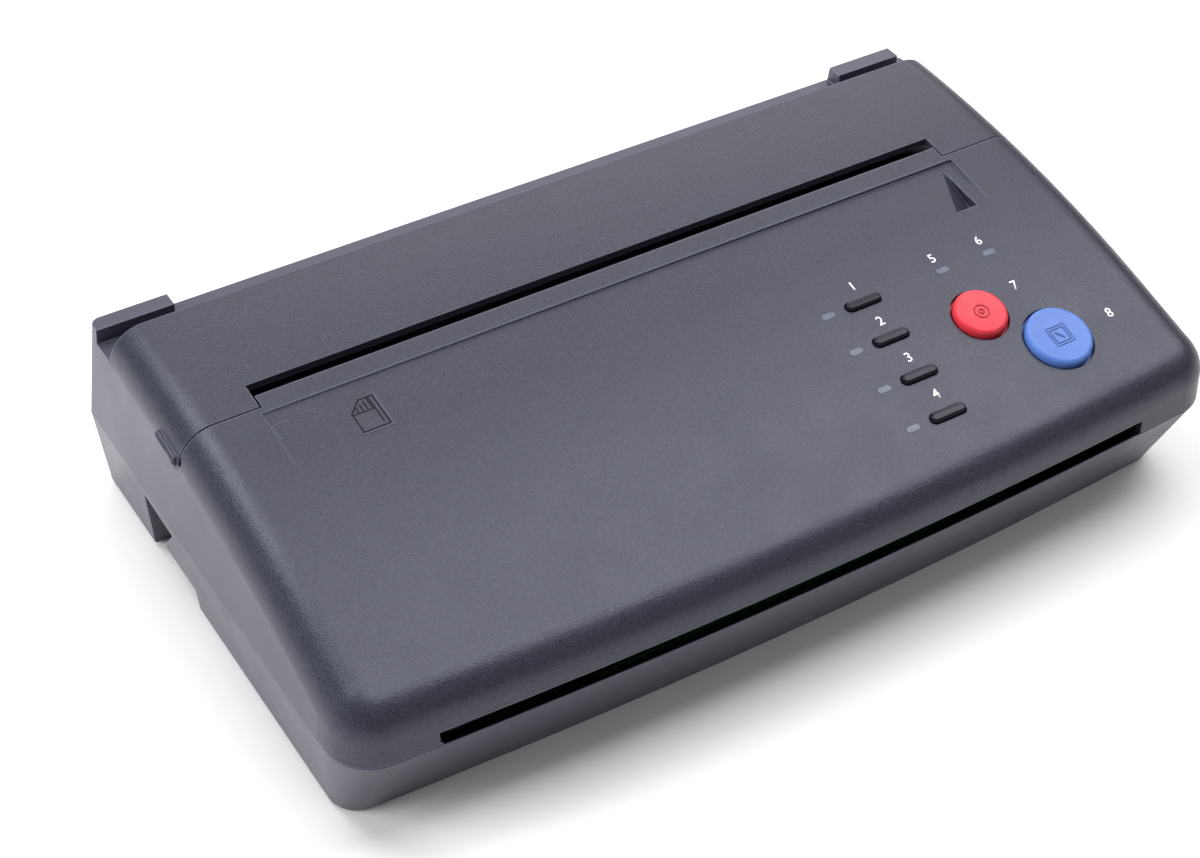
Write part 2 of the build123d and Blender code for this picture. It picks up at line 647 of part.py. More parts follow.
lamp_foot = 0.9
for name, places in (("mode_lamps", lamp_places), ("status_lamps", status_places)):
    with BuildPart() as lamps:
        for place in places:
            with BuildSketch(control_plane(*place).offset(0.1)):
                SlotOverall(lamp_length, lamp_width)
            extrude(amount=-cover_wall - 0.3)
            with BuildSketch(control_plane(*place).offset(-cover_wall - 0.2)):
                SlotOverall(lamp_length + 1.6, lamp_width + 1.6)
            extrude(amount=-lamp_foot)
            with BuildSketch(control_plane(*place).offset(-cover_wall - 0.2)):
                SlotOverall(lamp_length - 0.8, lamp_width - 0.3)
            extrude(amount=-(board_height(place[1]) - cover_wall - 0.2 - led_height - 0.2))
    export(lamps, name)


def on_board(place):
    """Board coordinates of the spot under a key, button or lamp."""
    point = control_plane(*place).location.position - Vector(*control_plane(*place).z_dir) * board_height(place[1])
    local = board_plane.to_local_coords(point)
    return (local.X, local.Y)


with BuildPart() as panel_board:
    with BuildSketch(board_plane) as panel_outline:
        with Locations((0, panel_shift)):
            RectangleRounded(panel_size[0], panel_size[1], 1.5)
        with Locations(panel_hole_places):
            Circle(board_screw_radius + 0.3, mode=Mode.SUBTRACT)
    extrude(amount=-board_thickness)
export(panel_board, "panel_board")

with BuildPart() as tact_switches:
    for place in key_places + [stop_place, copy_place]:
        with BuildSketch(board_plane):
            with Locations(on_board(place)):
                RectangleRounded(switch_size, switch_size, 0.5)
        extrude(amount=switch_body)
        with BuildSketch(board_plane.offset(switch_body)):
            with Locations(on_board(place)):
                Circle(plunger_radius)
        extrude(amount=plunger_height)
export(tact_switches, "tact_switches")

with BuildPart() as panel_leds:
    for place in lamp_places + status_places:
        with BuildSketch(board_plane):
            with Locations(on_board(place)):
                Rectangle(2.4, 1.4)
        extrude(amount=led_height)
export(panel_leds, "panel_leds")

# ------------------------------------------------------------------ chassis
ribbon_x = 110.8
ribbon_y = (-35.6, -24.2)
plate_profile = [(-56, plate_bottom_z), (53, plate_bottom_z), (53, 50), (36, 61.0), (4, 61.0), (-28, 55.0),
                 (-56, 43.5)]
shaft_places = [platen_place, feed_place, scan_place, exit_place]
plate_feet_y = [(-56, -36), (22, 49)]
foot_width = 13.0
idler_reach = pitch_radius(motor_teeth) + pitch_radius(lower_idler_teeth)
lower_idler_place = centre_between(motor_place, pitch_radius(motor_teeth) + pitch_radius(lower_idler_teeth),
                                   platen_place, pitch_radius(platen_teeth) + pitch_radius(lower_idler_teeth), 1)
upper_idler_place = centre_between(lower_idler_place,
                                   pitch_radius(lower_idler_teeth) + pitch_radius(upper_idler_teeth),
                                   feed_place, pitch_radius(feed_teeth) + pitch_radius(upper_idler_teeth), -1)
bridge_idler_place = centre_between(feed_place, pitch_radius(feed_teeth) + pitch_radius(bridge_idler_teeth),
                                    scan_place, pitch_radius(scan_teeth) + pitch_radius(bridge_idler_teeth), 1)
front_idler_place = centre_between(scan_place, pitch_radius(scan_teeth) + pitch_radius(front_idler_teeth),
                                   exit_place, pitch_radius(exit_teeth) + pitch_radius(front_idler_teeth), 1)
stub_places = [lower_idler_place, upper_idler_place, bridge_idler_place, front_idler_place]
plate_left_inner_x = plate_left_x + plate_thickness
plate_right_outer_x = plate_right_x + plate_thickness

for name, outer_x, inward in (("side_plate_left", plate_left_x, 1), ("side_plate_right", plate_right_outer_x, -1)):
    with BuildPart() as side_plate:
        with BuildSketch(Plane.YZ.offset(outer_x)) as plate_outline:
            with BuildLine():
                Polyline(*plate_profile, close=True)
            make_face()
            fillet(plate_outline.vertices().sort_by(Axis.Y)[-1], 3)
            with Locations(shaft_places):
                Circle(bush_radius, mode=Mode.SUBTRACT)
            if inward < 0:
                with Locations(motor_place):
                    Circle(3.5, mode=Mode.SUBTRACT)
                with Locations(stub_places):
                    Circle(stub_radius, mode=Mode.SUBTRACT)
            with Locations((-30, 30), (-14, 24)):
                Circle(6, mode=Mode.SUBTRACT)
        extrude(amount=inward * plate_thickness)
        for foot_start, foot_end in plate_feet_y:
            with BuildSketch(Plane.XY.offset(plate_bottom_z)):
                with Locations((outer_x + inward * foot_width / 2, (foot_start + foot_end) / 2)):
                    Rectangle(foot_width, foot_end - foot_start)
                if foot_start < 0:
                    with Locations((plate_post_x[0] if inward > 0 else plate_post_x[1], plate_post_y)):
                        Circle(board_screw_radius + 0.2, mode=Mode.SUBTRACT)
            extrude(amount=plate_thickness)
    export(side_plate, name)

chassis_middle_x = (plate_left_inner_x + plate_right_x) / 2
chassis_length = plate_right_x - plate_left_inner_x
with BuildPart() as head_bracket:
    with BuildSketch(Plane.YZ.offset(plate_left_inner_x)) as bracket_profile:
        with BuildLine():
            bracket_line = Polyline((31.5, 43.5), (31.5, 48.8), (51.5, 48.8), (51.5, 43.5))
            offset(bracket_line, amount=0.6, side=Side.BOTH)
        make_face()
    extrude(amount=chassis_length)
export(head_bracket, "head_bracket")

with BuildPart() as paper_guides:
    for sheet_points in ([(25.5, 61.5), (23.0, 50.5), (18.5, 47.0), (8.0, 46.2), (1.0, 45.6)],
                         [(-17.0, 44.5), (-37.0, 35.0), (-40.5, 33.5)],
                         [(rear_wall_y(inlet_z[0]) - wall - 1.0, 33.2), (66.0, 32.4),
                          (platen_place[0] + platen_radius + 3.0, 30.9),
                          (platen_place[0] + platen_radius + 1.5, 30.3)],
                         [(platen_place[0] - platen_radius - 1.5, 30.5), (-54.0, 30.5)]):
        with BuildSketch(Plane.YZ.offset(plate_left_inner_x)) as sheet_profile:
            with BuildLine():
                sheet_line = Polyline(*sheet_points)
                offset(sheet_line, amount=0.4, side=Side.BOTH)
            make_face()
        extrude(amount=chassis_length)
    with BuildSketch(Plane.XY.offset(30.1)) as lip_sheet:
        with Locations((paper_middle_x, -54.0)):
            Rectangle(slot_length - 8, 22, align=(Align.CENTER, Align.MAX))
    extrude(amount=0.8)
    with Locations((ribbon_x, sum(ribbon_y) / 2, 40)):
        Box(5, ribbon_y[1] - ribbon_y[0] + 3, 40, mode=Mode.SUBTRACT)
export(paper_guides, "paper_guides")

# ------------------------------------------------------------------ paper drive: gears, rollers and motor
tooth_tip = 0.9
tooth_root = 1.25
gear_phases = {}
gear_phases["platen"] = 0.0
gear_phases["lower_idler"] = mesh_phase(platen_place, platen_teeth, gear_phases["platen"],
                                        lower_idler_place, lower_idler_teeth)
gear_phases["motor"] = mesh_phase(lower_idler_place, lower_idler_teeth, gear_phases["lower_idler"],
                                  motor_place, motor_teeth)
gear_phases["upper_idler"] = mesh_phase(lower_idler_place, lower_idler_teeth, gear_phases["lower_idler"],
                                        upper_idler_place, upper_idler_teeth)
gear_phases["feed"] = mesh_phase(upper_idler_place, upper_idler_teeth, gear_phases["upper_idler"],
                                 feed_place, feed_teeth)
gear_phases["bridge_idler"] = mesh_phase(feed_place, feed_teeth, gear_phases["feed"],
                                         bridge_idler_place, bridge_idler_teeth)
gear_phases["scan"] = mesh_phase(bridge_idler_place, bridge_idler_teeth, gear_phases["bridge_idler"],
                                 scan_place, scan_teeth)
gear_phases["front_idler"] = mesh_phase(scan_place, scan_teeth, gear_phases["scan"],
                                        front_idler_place, front_idler_teeth)
gear_phases["exit"] = mesh_phase(front_idler_place, front_idler_teeth, gear_phases["front_idler"],
                                 exit_place, exit_teeth)


def drive_gear(place, teeth, phase, bore):
    """Spur gear on the drive side, its first tooth at the phase angle, with a web thinner than the rim."""
    pitch = pitch_radius(teeth)
    half_tooth = (gear_module * 3.14159 / 2 - gear_backlash) / 2
    with BuildPart(mode=Mode.PRIVATE) as gear:
        with BuildSketch(Plane.YZ.offset(gear_x)) as gear_outline:
            with Locations(place):
                Circle(pitch - tooth_root)
                with PolarLocations(0, teeth, start_angle=phase):
                    Polygon((pitch - tooth_root - 0.2, -half_tooth - 0.42), (pitch, -half_tooth),
                            (pitch + tooth_tip, -half_tooth + 0.4), (pitch + tooth_tip, half_tooth - 0.4),
                            (pitch, half_tooth), (pitch - tooth_root - 0.2, half_tooth + 0.42), align=None)
                Circle(bore, mode=Mode.SUBTRACT)
        extrude(amount=gear_width)
        if teeth > 14:
            with BuildSketch(Plane.YZ.offset(gear_x + gear_width)):
                with Locations(place):
                    Circle(pitch - tooth_root - 1.6)
                    Circle(bore + 1.8, mode=Mode.SUBTRACT)
            extrude(amount=-gear_width / 3, mode=Mode.SUBTRACT)
    return gear.part


def drive_round(x_start, x_end, place, radius, bore=0.0):
    """Round bar, tube or collar along the drive's X direction."""
    with BuildPart(mode=Mode.PRIVATE) as bar:
        with BuildSketch(Plane.YZ.offset(x_start)):
            with Locations(place):
                Circle(radius)
                if bore > 0:
                    Circle(bore, mode=Mode.SUBTRACT)
        extrude(amount=x_end - x_start)
    return bar.part


shaft_end_x = gear_x + gear_width + 0.8
tyre_starts = [roller_ends_x[0] + 10 + index * 50 for index in range(5)]
for name, place, radius, teeth in (("platen", platen_place, platen_radius, platen_teeth),
                                   ("feed", feed_place, feed_radius, feed_teeth),
                                   ("scan", scan_place, scan_radius, scan_teeth),
                                   ("exit", exit_place, exit_radius, exit_teeth)):
    with BuildPart() as shaft:
        add(drive_round(plate_left_x - 2.0, shaft_end_x, place, shaft_radius))
    export(shaft, f"{name}_shaft")
    with BuildPart() as roller:
        if name == "exit":
            for tyre_x in tyre_starts:
                add(drive_round(tyre_x, tyre_x + 14, place, radius, shaft_radius))
        else:
            add(drive_round(roller_ends_x[0], roller_ends_x[1], place, radius, shaft_radius))
    export(roller, f"{name}_roller")
    with BuildPart() as roller_gear:
        add(drive_gear(place, teeth, gear_phases[name], shaft_radius))
    export(roller_gear, f"{name}_gear")

for name, place, teeth in (("lower_idler", lower_idler_place, lower_idler_teeth),
                           ("upper_idler", upper_idler_place, upper_idler_teeth),
                           ("bridge_idler", bridge_idler_place, bridge_idler_teeth),
                           ("front_idler", front_idler_place, front_idler_teeth)):
    with BuildPart() as idler:
        add(drive_gear(place, teeth, gear_phases[name], stub_radius + 0.05))
    export(idler, name)

with BuildPart() as idler_stubs:
    for place in stub_places:
        add(drive_round(plate_right_x, gear_x + gear_width + 0.3, place, stub_radius))
        add(drive_round(plate_right_outer_x, gear_x - 0.2, place, stub_radius + 1.2))
        add(drive_round(gear_x + gear_width + 0.2, shaft_end_x, place, stub_radius + 1.2))
export(idler_stubs, "idler_stubs")

with BuildPart() as roller_bushes:
    for place in shaft_places:
        for outer_x, inward in ((plate_left_x, 1), (plate_right_outer_x, -1)):
            flange_x = sorted((outer_x + inward * plate_thickness, outer_x + inward * (plate_thickness + 1.0)))
            body_x = sorted((outer_x - inward * 0.6, outer_x + inward * plate_thickness))
            add(drive_round(*flange_x, place, bush_flange_radius, shaft_radius + shaft_clearance))
            add(drive_round(*body_x, place, bush_radius, shaft_radius + shaft_clearance))
export(roller_bushes, "roller_bushes")

motor_shaft_radius = 1.5
with BuildPart() as stepper_motor:
    add(drive_round(plate_right_x - motor_length, plate_right_x, motor_place, motor_radius))
    with BuildSketch(Plane.YZ.offset(plate_right_x)):
        with Locations(motor_place):
            SlotOverall(34, 8)
            with Locations((-14, 0), (14, 0)):
                Circle(1.4, mode=Mode.SUBTRACT)
    extrude(amount=-1.0)
    with Locations((plate_right_x - motor_length + 5, motor_place[0] - motor_radius, motor_place[1])):
        Box(7, 5, 8)
    add(drive_round(plate_right_x - 8, plate_right_x, motor_place, motor_shaft_radius + shaft_clearance),
        mode=Mode.SUBTRACT)
export(stepper_motor, "stepper_motor")

with BuildPart() as motor_pinion:
    add(drive_round(plate_right_x - 7.5, gear_x + gear_width + 0.4, motor_place, motor_shaft_radius))
    add(drive_gear(motor_place, motor_teeth, gear_phases["motor"], motor_shaft_radius))
export(motor_pinion, "motor_pinion")

# ------------------------------------------------------------------ print head, scanner and paper sensors
nip_z = platen_place[1] + platen_radius + paper_gap
head_x = (-112.0, 108.0)
with BuildPart() as print_head:
    with BuildSketch(Plane.YZ.offset(head_x[0])):
        with Locations((platen_place[0] + 1.5, nip_z)):
            Rectangle(17, 1.4, align=(Align.CENTER, Align.MIN))
    extrude(amount=head_x[1] - head_x[0])
export(print_head, "print_head")

with BuildPart() as head_heatsink:
    with BuildSketch(Plane.YZ.offset(head_x[0])):
        with Locations((platen_place[0] + 1.5, nip_z + 1.4)):
            Rectangle(15, 3.0, align=(Align.CENTER, Align.MIN))
        with Locations((platen_place[0] + 1.5, nip_z + 4.4)):
            with GridLocations(3.4, 1, 5, 1):
                Rectangle(1.2, 4.0, align=(Align.CENTER, Align.MIN))
    extrude(amount=head_x[1] - head_x[0])
export(head_heatsink, "head_heatsink")

fin_top_z = nip_z + 8.4
with BuildPart() as head_springs:
    for spring_x in (-70, 0, 70):
        with BuildSketch(Plane.YZ.offset(spring_x - 6)):
            with BuildLine():
                leaf = Polyline((33.0, 47.9), (38.0, 47.9), (platen_place[0] + 1.5, fin_top_z + 0.3), (45.0, 47.9),
                                (50.0, 47.9))
                offset(leaf, amount=0.2, side=Side.BOTH)
            make_face()
        extrude(amount=12)
export(head_springs, "head_springs")

glass_top_z = scan_place[1] - scan_radius - paper_gap
with BuildPart() as scanner_bar:
    with BuildSketch(Plane.YZ.offset(plate_left_inner_x)):
        with Locations((scan_place[0], 33.5)):
            Rectangle(14, glass_top_z - 33.5 - 0.3, align=(Align.CENTER, Align.MIN))
        with Locations((scan_place[0], glass_top_z - 1.4)):
            Rectangle(11, 3, align=(Align.CENTER, Align.MIN), mode=Mode.SUBTRACT)
        with Locations((scan_place[0], 38.0)):
            Rectangle(5, 10, align=(Align.CENTER, Align.MIN), mode=Mode.SUBTRACT)
    extrude(amount=chassis_length)
export(scanner_bar, "scanner_bar")

with BuildPart() as scanner_glass:
    with BuildSketch(Plane.YZ.offset(plate_left_inner_x + 0.5)):
        with Locations((scan_place[0], glass_top_z - 1.4)):
            Rectangle(10.8, 1.4, align=(Align.CENTER, Align.MIN))
    extrude(amount=chassis_length - 1.0)
export(scanner_glass, "scanner_glass")

with BuildPart() as paper_sensors:
    with Locations((0, 13, 43.9), (-40, 16, 28.0)):
        Box(10, 6, 3.8)
export(paper_sensors, "paper_sensors")

separation_z = feed_place[1] - feed_radius - paper_gap
with BuildPart() as separation_pad:
    with BuildSketch(Plane.YZ.offset(-14)):
        with BuildLine():
            Polyline((feed_place[0] - 5, separation_z), (feed_place[0] + 3, separation_z),
                     (feed_place[0] + 3, 47.4), (feed_place[0] - 5, 46.8), close=True)
        make_face()
    extrude(amount=28)
export(separation_pad, "separation_pad")

# ------------------------------------------------------------------ electrics
with BuildPart() as main_board:
    with BuildSketch(Plane.XY.offset(main_board_z)):
        with Locations((sum(main_board_x) / 2, sum(main_board_y) / 2)):
            RectangleRounded(main_board_x[1] - main_board_x[0], main_board_y[1] - main_board_y[0], 2)
        with Locations(board_post_places):
            Circle(board_screw_radius + 0.3, mode=Mode.SUBTRACT)
    extrude(amount=board_thickness)
export(main_board, "main_board")

board_top_z = main_board_z + board_thickness
with BuildPart() as board_parts:
    with Locations(Plane.XY.offset(board_top_z)):
        with Locations((-10, -42)):
            Box(14, 14, 1.4, align=(Align.CENTER, Align.CENTER, Align.MIN))
        with Locations((24, -38), (24, -52), (48, -44)):
            Box(10, 7.5, 1.6, align=(Align.CENTER, Align.CENTER, Align.MIN))
        with Locations((-46, -34), (-46, -46), (-34, -56)):
            Cylinder(4, 10, align=(Align.CENTER, Align.CENTER, Align.MIN))
        with Locations((74, sum(ribbon_y) / 2), (74, -48)):
            Box(8, 13, 5.5, align=(Align.CENTER, Align.CENTER, Align.MIN))
        with Locations((0, -22), (30, -22)):
            Box(22, 6, 5.5, align=(Align.CENTER, Align.CENTER, Align.MIN))
export(board_parts, "board_parts")

ribbon_z = board_top_z + 3.2
with BuildPart() as ribbon_cable:
    with BuildSketch(Plane.XZ.offset(-ribbon_y[1])):
        with BuildLine():
            Polyline((78.5, ribbon_z), (ribbon_x + 0.25, ribbon_z), (ribbon_x + 0.25, 60), (ribbon_x - 0.25, 60),
                     (ribbon_x - 0.25, ribbon_z + 0.5), (78.5, ribbon_z + 0.5), close=True)
        make_face()
    extrude(amount=ribbon_y[1] - ribbon_y[0])
    with BuildSketch(board_plane.offset(-board_thickness - 3.6)):
        Rectangle(2 * overall_width, overall_depth)
    extrude(amount=40, mode=Mode.SUBTRACT)
export(ribbon_cable, "ribbon_cable")

with BuildPart() as panel_socket:
    with BuildSketch(board_plane.offset(-board_thickness)):
        with Locations((ribbon_x - panel_middle[0] - 0.8, sum(ribbon_y) / 2 - control_y)):
            Rectangle(4.2, ribbon_y[1] - ribbon_y[0] + 1.5)
    extrude(amount=-3.6)
export(panel_socket, "panel_socket")

jack_wall_y = rear_wall_y(jack_place[1]) - 0.2
with BuildPart() as dc_jack:
    with BuildSketch(Plane.XZ.offset(-jack_wall_y)):
        with Locations(jack_place):
            Circle(jack_radius - 0.15)
    extrude(amount=6)
    with BuildSketch(Plane.XZ.offset(3 - jack_wall_y)):
        with Locations(jack_place):
            Rectangle(14, 13)
    extrude(amount=12)
    with BuildSketch(Plane.XZ.offset(-jack_wall_y)):
        with Locations(jack_place):
            Circle(3.2)
            Circle(1.0, mode=Mode.SUBTRACT)
    extrude(amount=9, mode=Mode.SUBTRACT)
    add(base_case.part, mode=Mode.SUBTRACT)
export(dc_jack, "dc_jack")

rocker_plane = Plane(origin=switch_plane.offset(3.0).origin, x_dir=(1, 0, 0),
                     z_dir=(0, -sin(switch_lean), cos(switch_lean)))
rocker_tilt = 8.0
rocker_half = rocker_width / 2 - 1.9
rocker_rise = 4.1
with BuildPart() as switch_frame:
    with BuildSketch(switch_plane):
        RectangleRounded(rocker_width + 3, rocker_height + 3, 1.2)
    extrude(amount=-1.4)
    with BuildSketch(switch_plane):
        Rectangle(rocker_width - 0.3, rocker_height - 0.3)
    extrude(amount=13)
    with BuildSketch(switch_plane.offset(-5)):
        Rectangle(rocker_width - 2.4, rocker_height - 2.2)
    extrude(amount=12.2, mode=Mode.SUBTRACT)
    with Locations(rocker_plane):
        Cylinder(1.0 + shaft_clearance, rocker_height - 0.4, mode=Mode.SUBTRACT)
    add(base_case.part, mode=Mode.SUBTRACT)
export(switch_frame, "switch_frame")

with BuildPart() as rocker_switch:
    rocker_half_height = (rocker_height - 2.2) / 2 - 0.3
    with BuildSketch(rocker_plane.offset(-rocker_half_height)):
        with Locations(Location((0, 0, 0), (0, 0, rocker_tilt))):
            Polygon((-rocker_half, -1.8), (rocker_half, -1.8), (rocker_half, rocker_rise), (0, rocker_rise - 0.8),
                    (-rocker_half, rocker_rise), align=None)
    extrude(amount=2 * rocker_half_height)
    with Locations(rocker_plane):
        Cylinder(1.0, rocker_height - 1.0)
export(rocker_switch, "rocker_switch")

# ------------------------------------------------------------------ feet and screws
with BuildPart() as rubber_feet:
    with Locations(foot_places):
        Cylinder(foot_radius, foot_height, align=(Align.CENTER, Align.CENTER, Align.MIN))
    fillet(rubber_feet.faces().sort_by(Axis.Z)[:4].edges(), 0.5)
export(rubber_feet, "rubber_feet")

screw_seat_z = foot_lift + screw_head_depth + 4.0
with BuildPart() as case_screws:
    with Locations(Plane.XY.offset(screw_seat_z - screw_head_depth)):
        with Locations(case_post_places):
            Cylinder(screw_head_radius, screw_head_depth, align=(Align.CENTER, Align.CENTER, Align.MIN))
            Cylinder(screw_radius, case_post_top_z + 8 - screw_seat_z + screw_head_depth,
                     align=(Align.CENTER, Align.CENTER, Align.MIN))
            CounterBoreHole(0.01, 1.2, 1.2, depth=1.3)
export(case_screws, "case_screws")

board_screw_head = 2.1
board_screw_rise = 1.4
board_screw_length = 4.0
with BuildPart() as board_screws:
    with Locations(Plane.XY.offset(board_top_z)):
        with Locations(board_post_places):
            Cylinder(board_screw_head, board_screw_rise, align=(Align.CENTER, Align.CENTER, Align.MIN))
            Cylinder(board_screw_radius, board_screw_length + board_thickness,
                     align=(Align.CENTER, Align.CENTER, Align.MAX))
    with Locations(Plane.XY.offset(plate_bottom_z + plate_thickness)):
        with Locations([(x, plate_post_y) for x in plate_post_x]):
            Cylinder(board_screw_head, board_screw_rise, align=(Align.CENTER, Align.CENTER, Align.MIN))
            Cylinder(board_screw_radius, board_screw_length + plate_thickness,
                     align=(Align.CENTER, Align.CENTER, Align.MAX))
    with Locations(board_plane.offset(-board_thickness)):
        with Locations(panel_hole_places):
            Cylinder(board_screw_head, board_screw_rise, align=(Align.CENTER, Align.CENTER, Align.MAX))
            Cylinder(board_screw_radius, board_screw_length + board_thickness,
                     align=(Align.CENTER, Align.CENTER, Align.MIN))
export(board_screws, "board_screws")
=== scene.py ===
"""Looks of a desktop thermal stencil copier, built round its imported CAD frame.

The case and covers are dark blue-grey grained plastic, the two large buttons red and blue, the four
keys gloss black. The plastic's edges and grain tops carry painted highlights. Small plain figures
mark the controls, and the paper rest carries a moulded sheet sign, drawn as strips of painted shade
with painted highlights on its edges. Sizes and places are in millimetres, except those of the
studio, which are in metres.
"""
import math

import bpy
from bpy.props import FloatProperty, FloatVectorProperty, PointerProperty
from bpy.types import Operator, Panel, PropertyGroup
from mathutils import Matrix, Vector


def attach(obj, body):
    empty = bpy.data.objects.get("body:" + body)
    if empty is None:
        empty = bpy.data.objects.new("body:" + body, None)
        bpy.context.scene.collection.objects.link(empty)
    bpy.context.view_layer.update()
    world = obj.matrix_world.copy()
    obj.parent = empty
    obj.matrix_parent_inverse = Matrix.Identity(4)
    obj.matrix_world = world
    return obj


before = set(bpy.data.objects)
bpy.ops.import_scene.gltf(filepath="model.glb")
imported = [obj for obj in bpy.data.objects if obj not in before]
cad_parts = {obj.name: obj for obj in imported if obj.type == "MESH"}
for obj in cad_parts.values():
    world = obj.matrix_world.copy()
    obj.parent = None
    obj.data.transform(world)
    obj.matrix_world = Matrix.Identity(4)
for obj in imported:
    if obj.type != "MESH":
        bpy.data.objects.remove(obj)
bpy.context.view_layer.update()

bl_info = {
    "name": "Stencil copier looks",
    "version": (1, 1, 0),
    "blender": (4, 2, 0),
    "location": "View3D > Sidebar > Copier",
    "description": "Materials, moulded and printed marks and studio "
                   "for a desktop thermal stencil copier",
    "category": "Object",
}

MM = 0.001

# Long curve of the covers' top: its crest, its radius, and the straight slope in front of it.
CREST_Y = 62.0
CREST_Z = 70.0
CREST_RADIUS = 400.0
FRONT_SLOPE = math.radians(16.0)

# Middles of the round buttons, and the height of their signs over the covers' curve.
STOP_PLACE = (81.3, -38.9)
COPY_PLACE = (97.70, -54.41)
SIGN_LIFT = 1.75

# Signs on the buttons: their lines, and the radii to the corners of their rings.
SIGN_LINE = 0.30
SIGN_THICKNESS = 0.5
SIGN_ROUND = 0.06
STOP_RINGS = ((8, 2.45), (24, 0.90))
COPY_FRAMES = (4.6, 3.4)
COPY_BAR_RADIUS = 0.72
COPY_BAR_STRETCH = (0.55, 3.0, 1.0)
COPY_BAR_TURN = math.radians(38)

# Printed figures: name, figure and place.
FIGURES = (
    ("key_figure_1", "1", 53.4, -15.6),
    ("key_figure_2", "2", 53.4, -29.2),
    ("key_figure_3", "3", 53.4, -42.7),
    ("key_figure_4", "4", 53.4, -55.6),
    ("lamp_figure_5", "5", 81.0, -16.6),
    ("lamp_figure_6", "6", 97.8, -16.6),
    ("stop_figure_7", "7", 97.4, -34.4),
    ("copy_figure_8", "8", 117.6, -53.2),
)
FONT_SCALE = 1.38      # font size over the height of its figures
FONT_WEIGHT = 0.012    # outline's growth over the height of the figures
INK_LIFT = 0.03
INK_THICKNESS = 0.04

# Sheet sign in the paper rest, drawn as strips of painted shade: the sheet's edges, its folded
# corner, and the fold's hatching.
SHEET_LEFT, SHEET_RIGHT = -94.7, -86.5
SHEET_REAR, SHEET_FRONT = 8.2, -3.0
SHEET_LINE = 0.42
SHEET_PROUD = 0.05
FOLD = 4.2
FOLD_SLANT = 1.45      # length of the fold's line over the corner's side
HATCH_COUNT = 4
HATCH_FIRST, HATCH_PITCH = 2.1, 1.35
HATCH_TOP, HATCH_STEP = 0.3, 0.75
LIT_LINE, LIT_SIDE_LINE = 0.34, 0.30
LIT_PROUD = 0.12

# Paper rest: its rear edge, and the corner mark at its left end, drawn as lines of painted
# highlight.
REST_LEFT, REST_RIGHT, REST_REAR = -115.5, 109.5, 14.75
REST_LINE = 0.26
REST_PROUD = 0.06
CORNER_LINE = 0.34
CORNER_REAR, CORNER_FRONT = 9.9, 4.7

START_HEIGHT = 100.0   # flat pieces start here and drop on to the covers

# Most of a noise lies between these values.
NOISE_LOW, NOISE_HIGH = 0.3, 0.7
# Heights of the plastic's grain where the darker shade ends and where the lighter one is full.
GRAIN_VALLEY, GRAIN_TOP = 0.38, 0.66
# Agreement of the softened and the true normal where the painted edge highlight starts and where it
# is full.
HIGHLIGHT_START, HIGHLIGHT_FULL = 0.985, 0.86
EDGE_HIGHLIGHT_SHADE = 4.5     # colour of the painted edge highlight over the plastic's own
LIT_SHADE = 2.6        # colour of the marks' painted highlight edges over the covers' own

EVEN = (1.0, 1.0, 1.0)
ALONG_X = (0.12, 1.0, 1.0)      # stretch of a finish drawn out along X
ROUND_X = (1.0, 0.15, 0.15)     # stretch of a finish ground round X
COOL_SHEEN = (0.84, 0.86, 1.0)

# Studio lights: name, place, aim, sides, power in watts, and whether glossy surfaces mirror them.
COPIER_MIDDLE = (0.0, 0.0, 0.04)
LIGHTS = (
    ("right_light", (0.68, 0.0, 1.45), COPIER_MIDDLE, (0.8, 1.5), 22.5, True),
    ("left_light", (-0.42, 0.66, 1.40), COPIER_MIDDLE, (0.75, 0.75), 16.0, True),
    ("back_light", (0.90, 1.40, 0.95), COPIER_MIDDLE, (1.3, 1.3), 12.0, True),
    ("side_fill", (-1.5, 0.35, 0.60), COPIER_MIDDLE, (1.0, 1.0), 31.0, False),
    ("floor_fill", (0.25, -0.80, 0.55), (0.25, -0.65, 0.0), (0.8, 0.5), 2.0, False),
)
ROOM_COLOUR = (0.96, 0.97, 1.0)
ROOM_STRENGTH = 0.14
FLOOR_SIDE = 14.0
FLOOR_SHADE = 0.82
FLOOR_DROP = 0.05      # millimetres

# Camera: turn in radians, place in metres, and its focal length and centre in pixels of the frame.
CAMERA_YAW, CAMERA_PITCH, CAMERA_ROLL = -0.5784, 0.6585, 0.0327
CAMERA_PLACE = (-0.30955, -0.44439, 0.50476)
FRAME_WIDTH, FRAME_HEIGHT = 1200.0, 858.0
FOCAL_LENGTH = 2524.32
CENTRE_X, CENTRE_Y = 607.14, 247.68
SENSOR_WIDTH = 36.0    # millimetres


# ------------------------------------------------------------------ materials
def shader(name, colour, roughness, metallic=0.0, coat=0.0, transmission=0.0, specular=0.5,
           ior=1.46, sheen=EVEN):
    """A new material with one Principled shader, and that shader."""
    material = bpy.data.materials.new(name)
    material.use_nodes = True
    surface = material.node_tree.nodes["Principled BSDF"]
    surface.inputs["Base Color"].default_value = (*colour, 1.0)
    surface.inputs["Roughness"].default_value = roughness
    surface.inputs["Metallic"].default_value = metallic
    surface.inputs["Coat Weight"].default_value = coat
    surface.inputs["Coat Roughness"].default_value = 0.12
    surface.inputs["Transmission Weight"].default_value = transmission
    surface.inputs["Specular IOR Level"].default_value = specular
    surface.inputs["IOR"].default_value = ior
    surface.inputs["Specular Tint"].default_value = (*sheen, 1.0)
    return material, surface


def object_place(material, stretch=EVEN):
    """The object's own coordinates, stretched where a finish runs one way."""
    nodes, links = material.node_tree.nodes, material.node_tree.links
    place = nodes.new("ShaderNodeTexCoord")
    mapping = nodes.new("ShaderNodeMapping")
    mapping.inputs["Scale"].default_value = stretch
    links.new(place.outputs["Object"], mapping.inputs["Vector"])
    return mapping.outputs["Vector"]


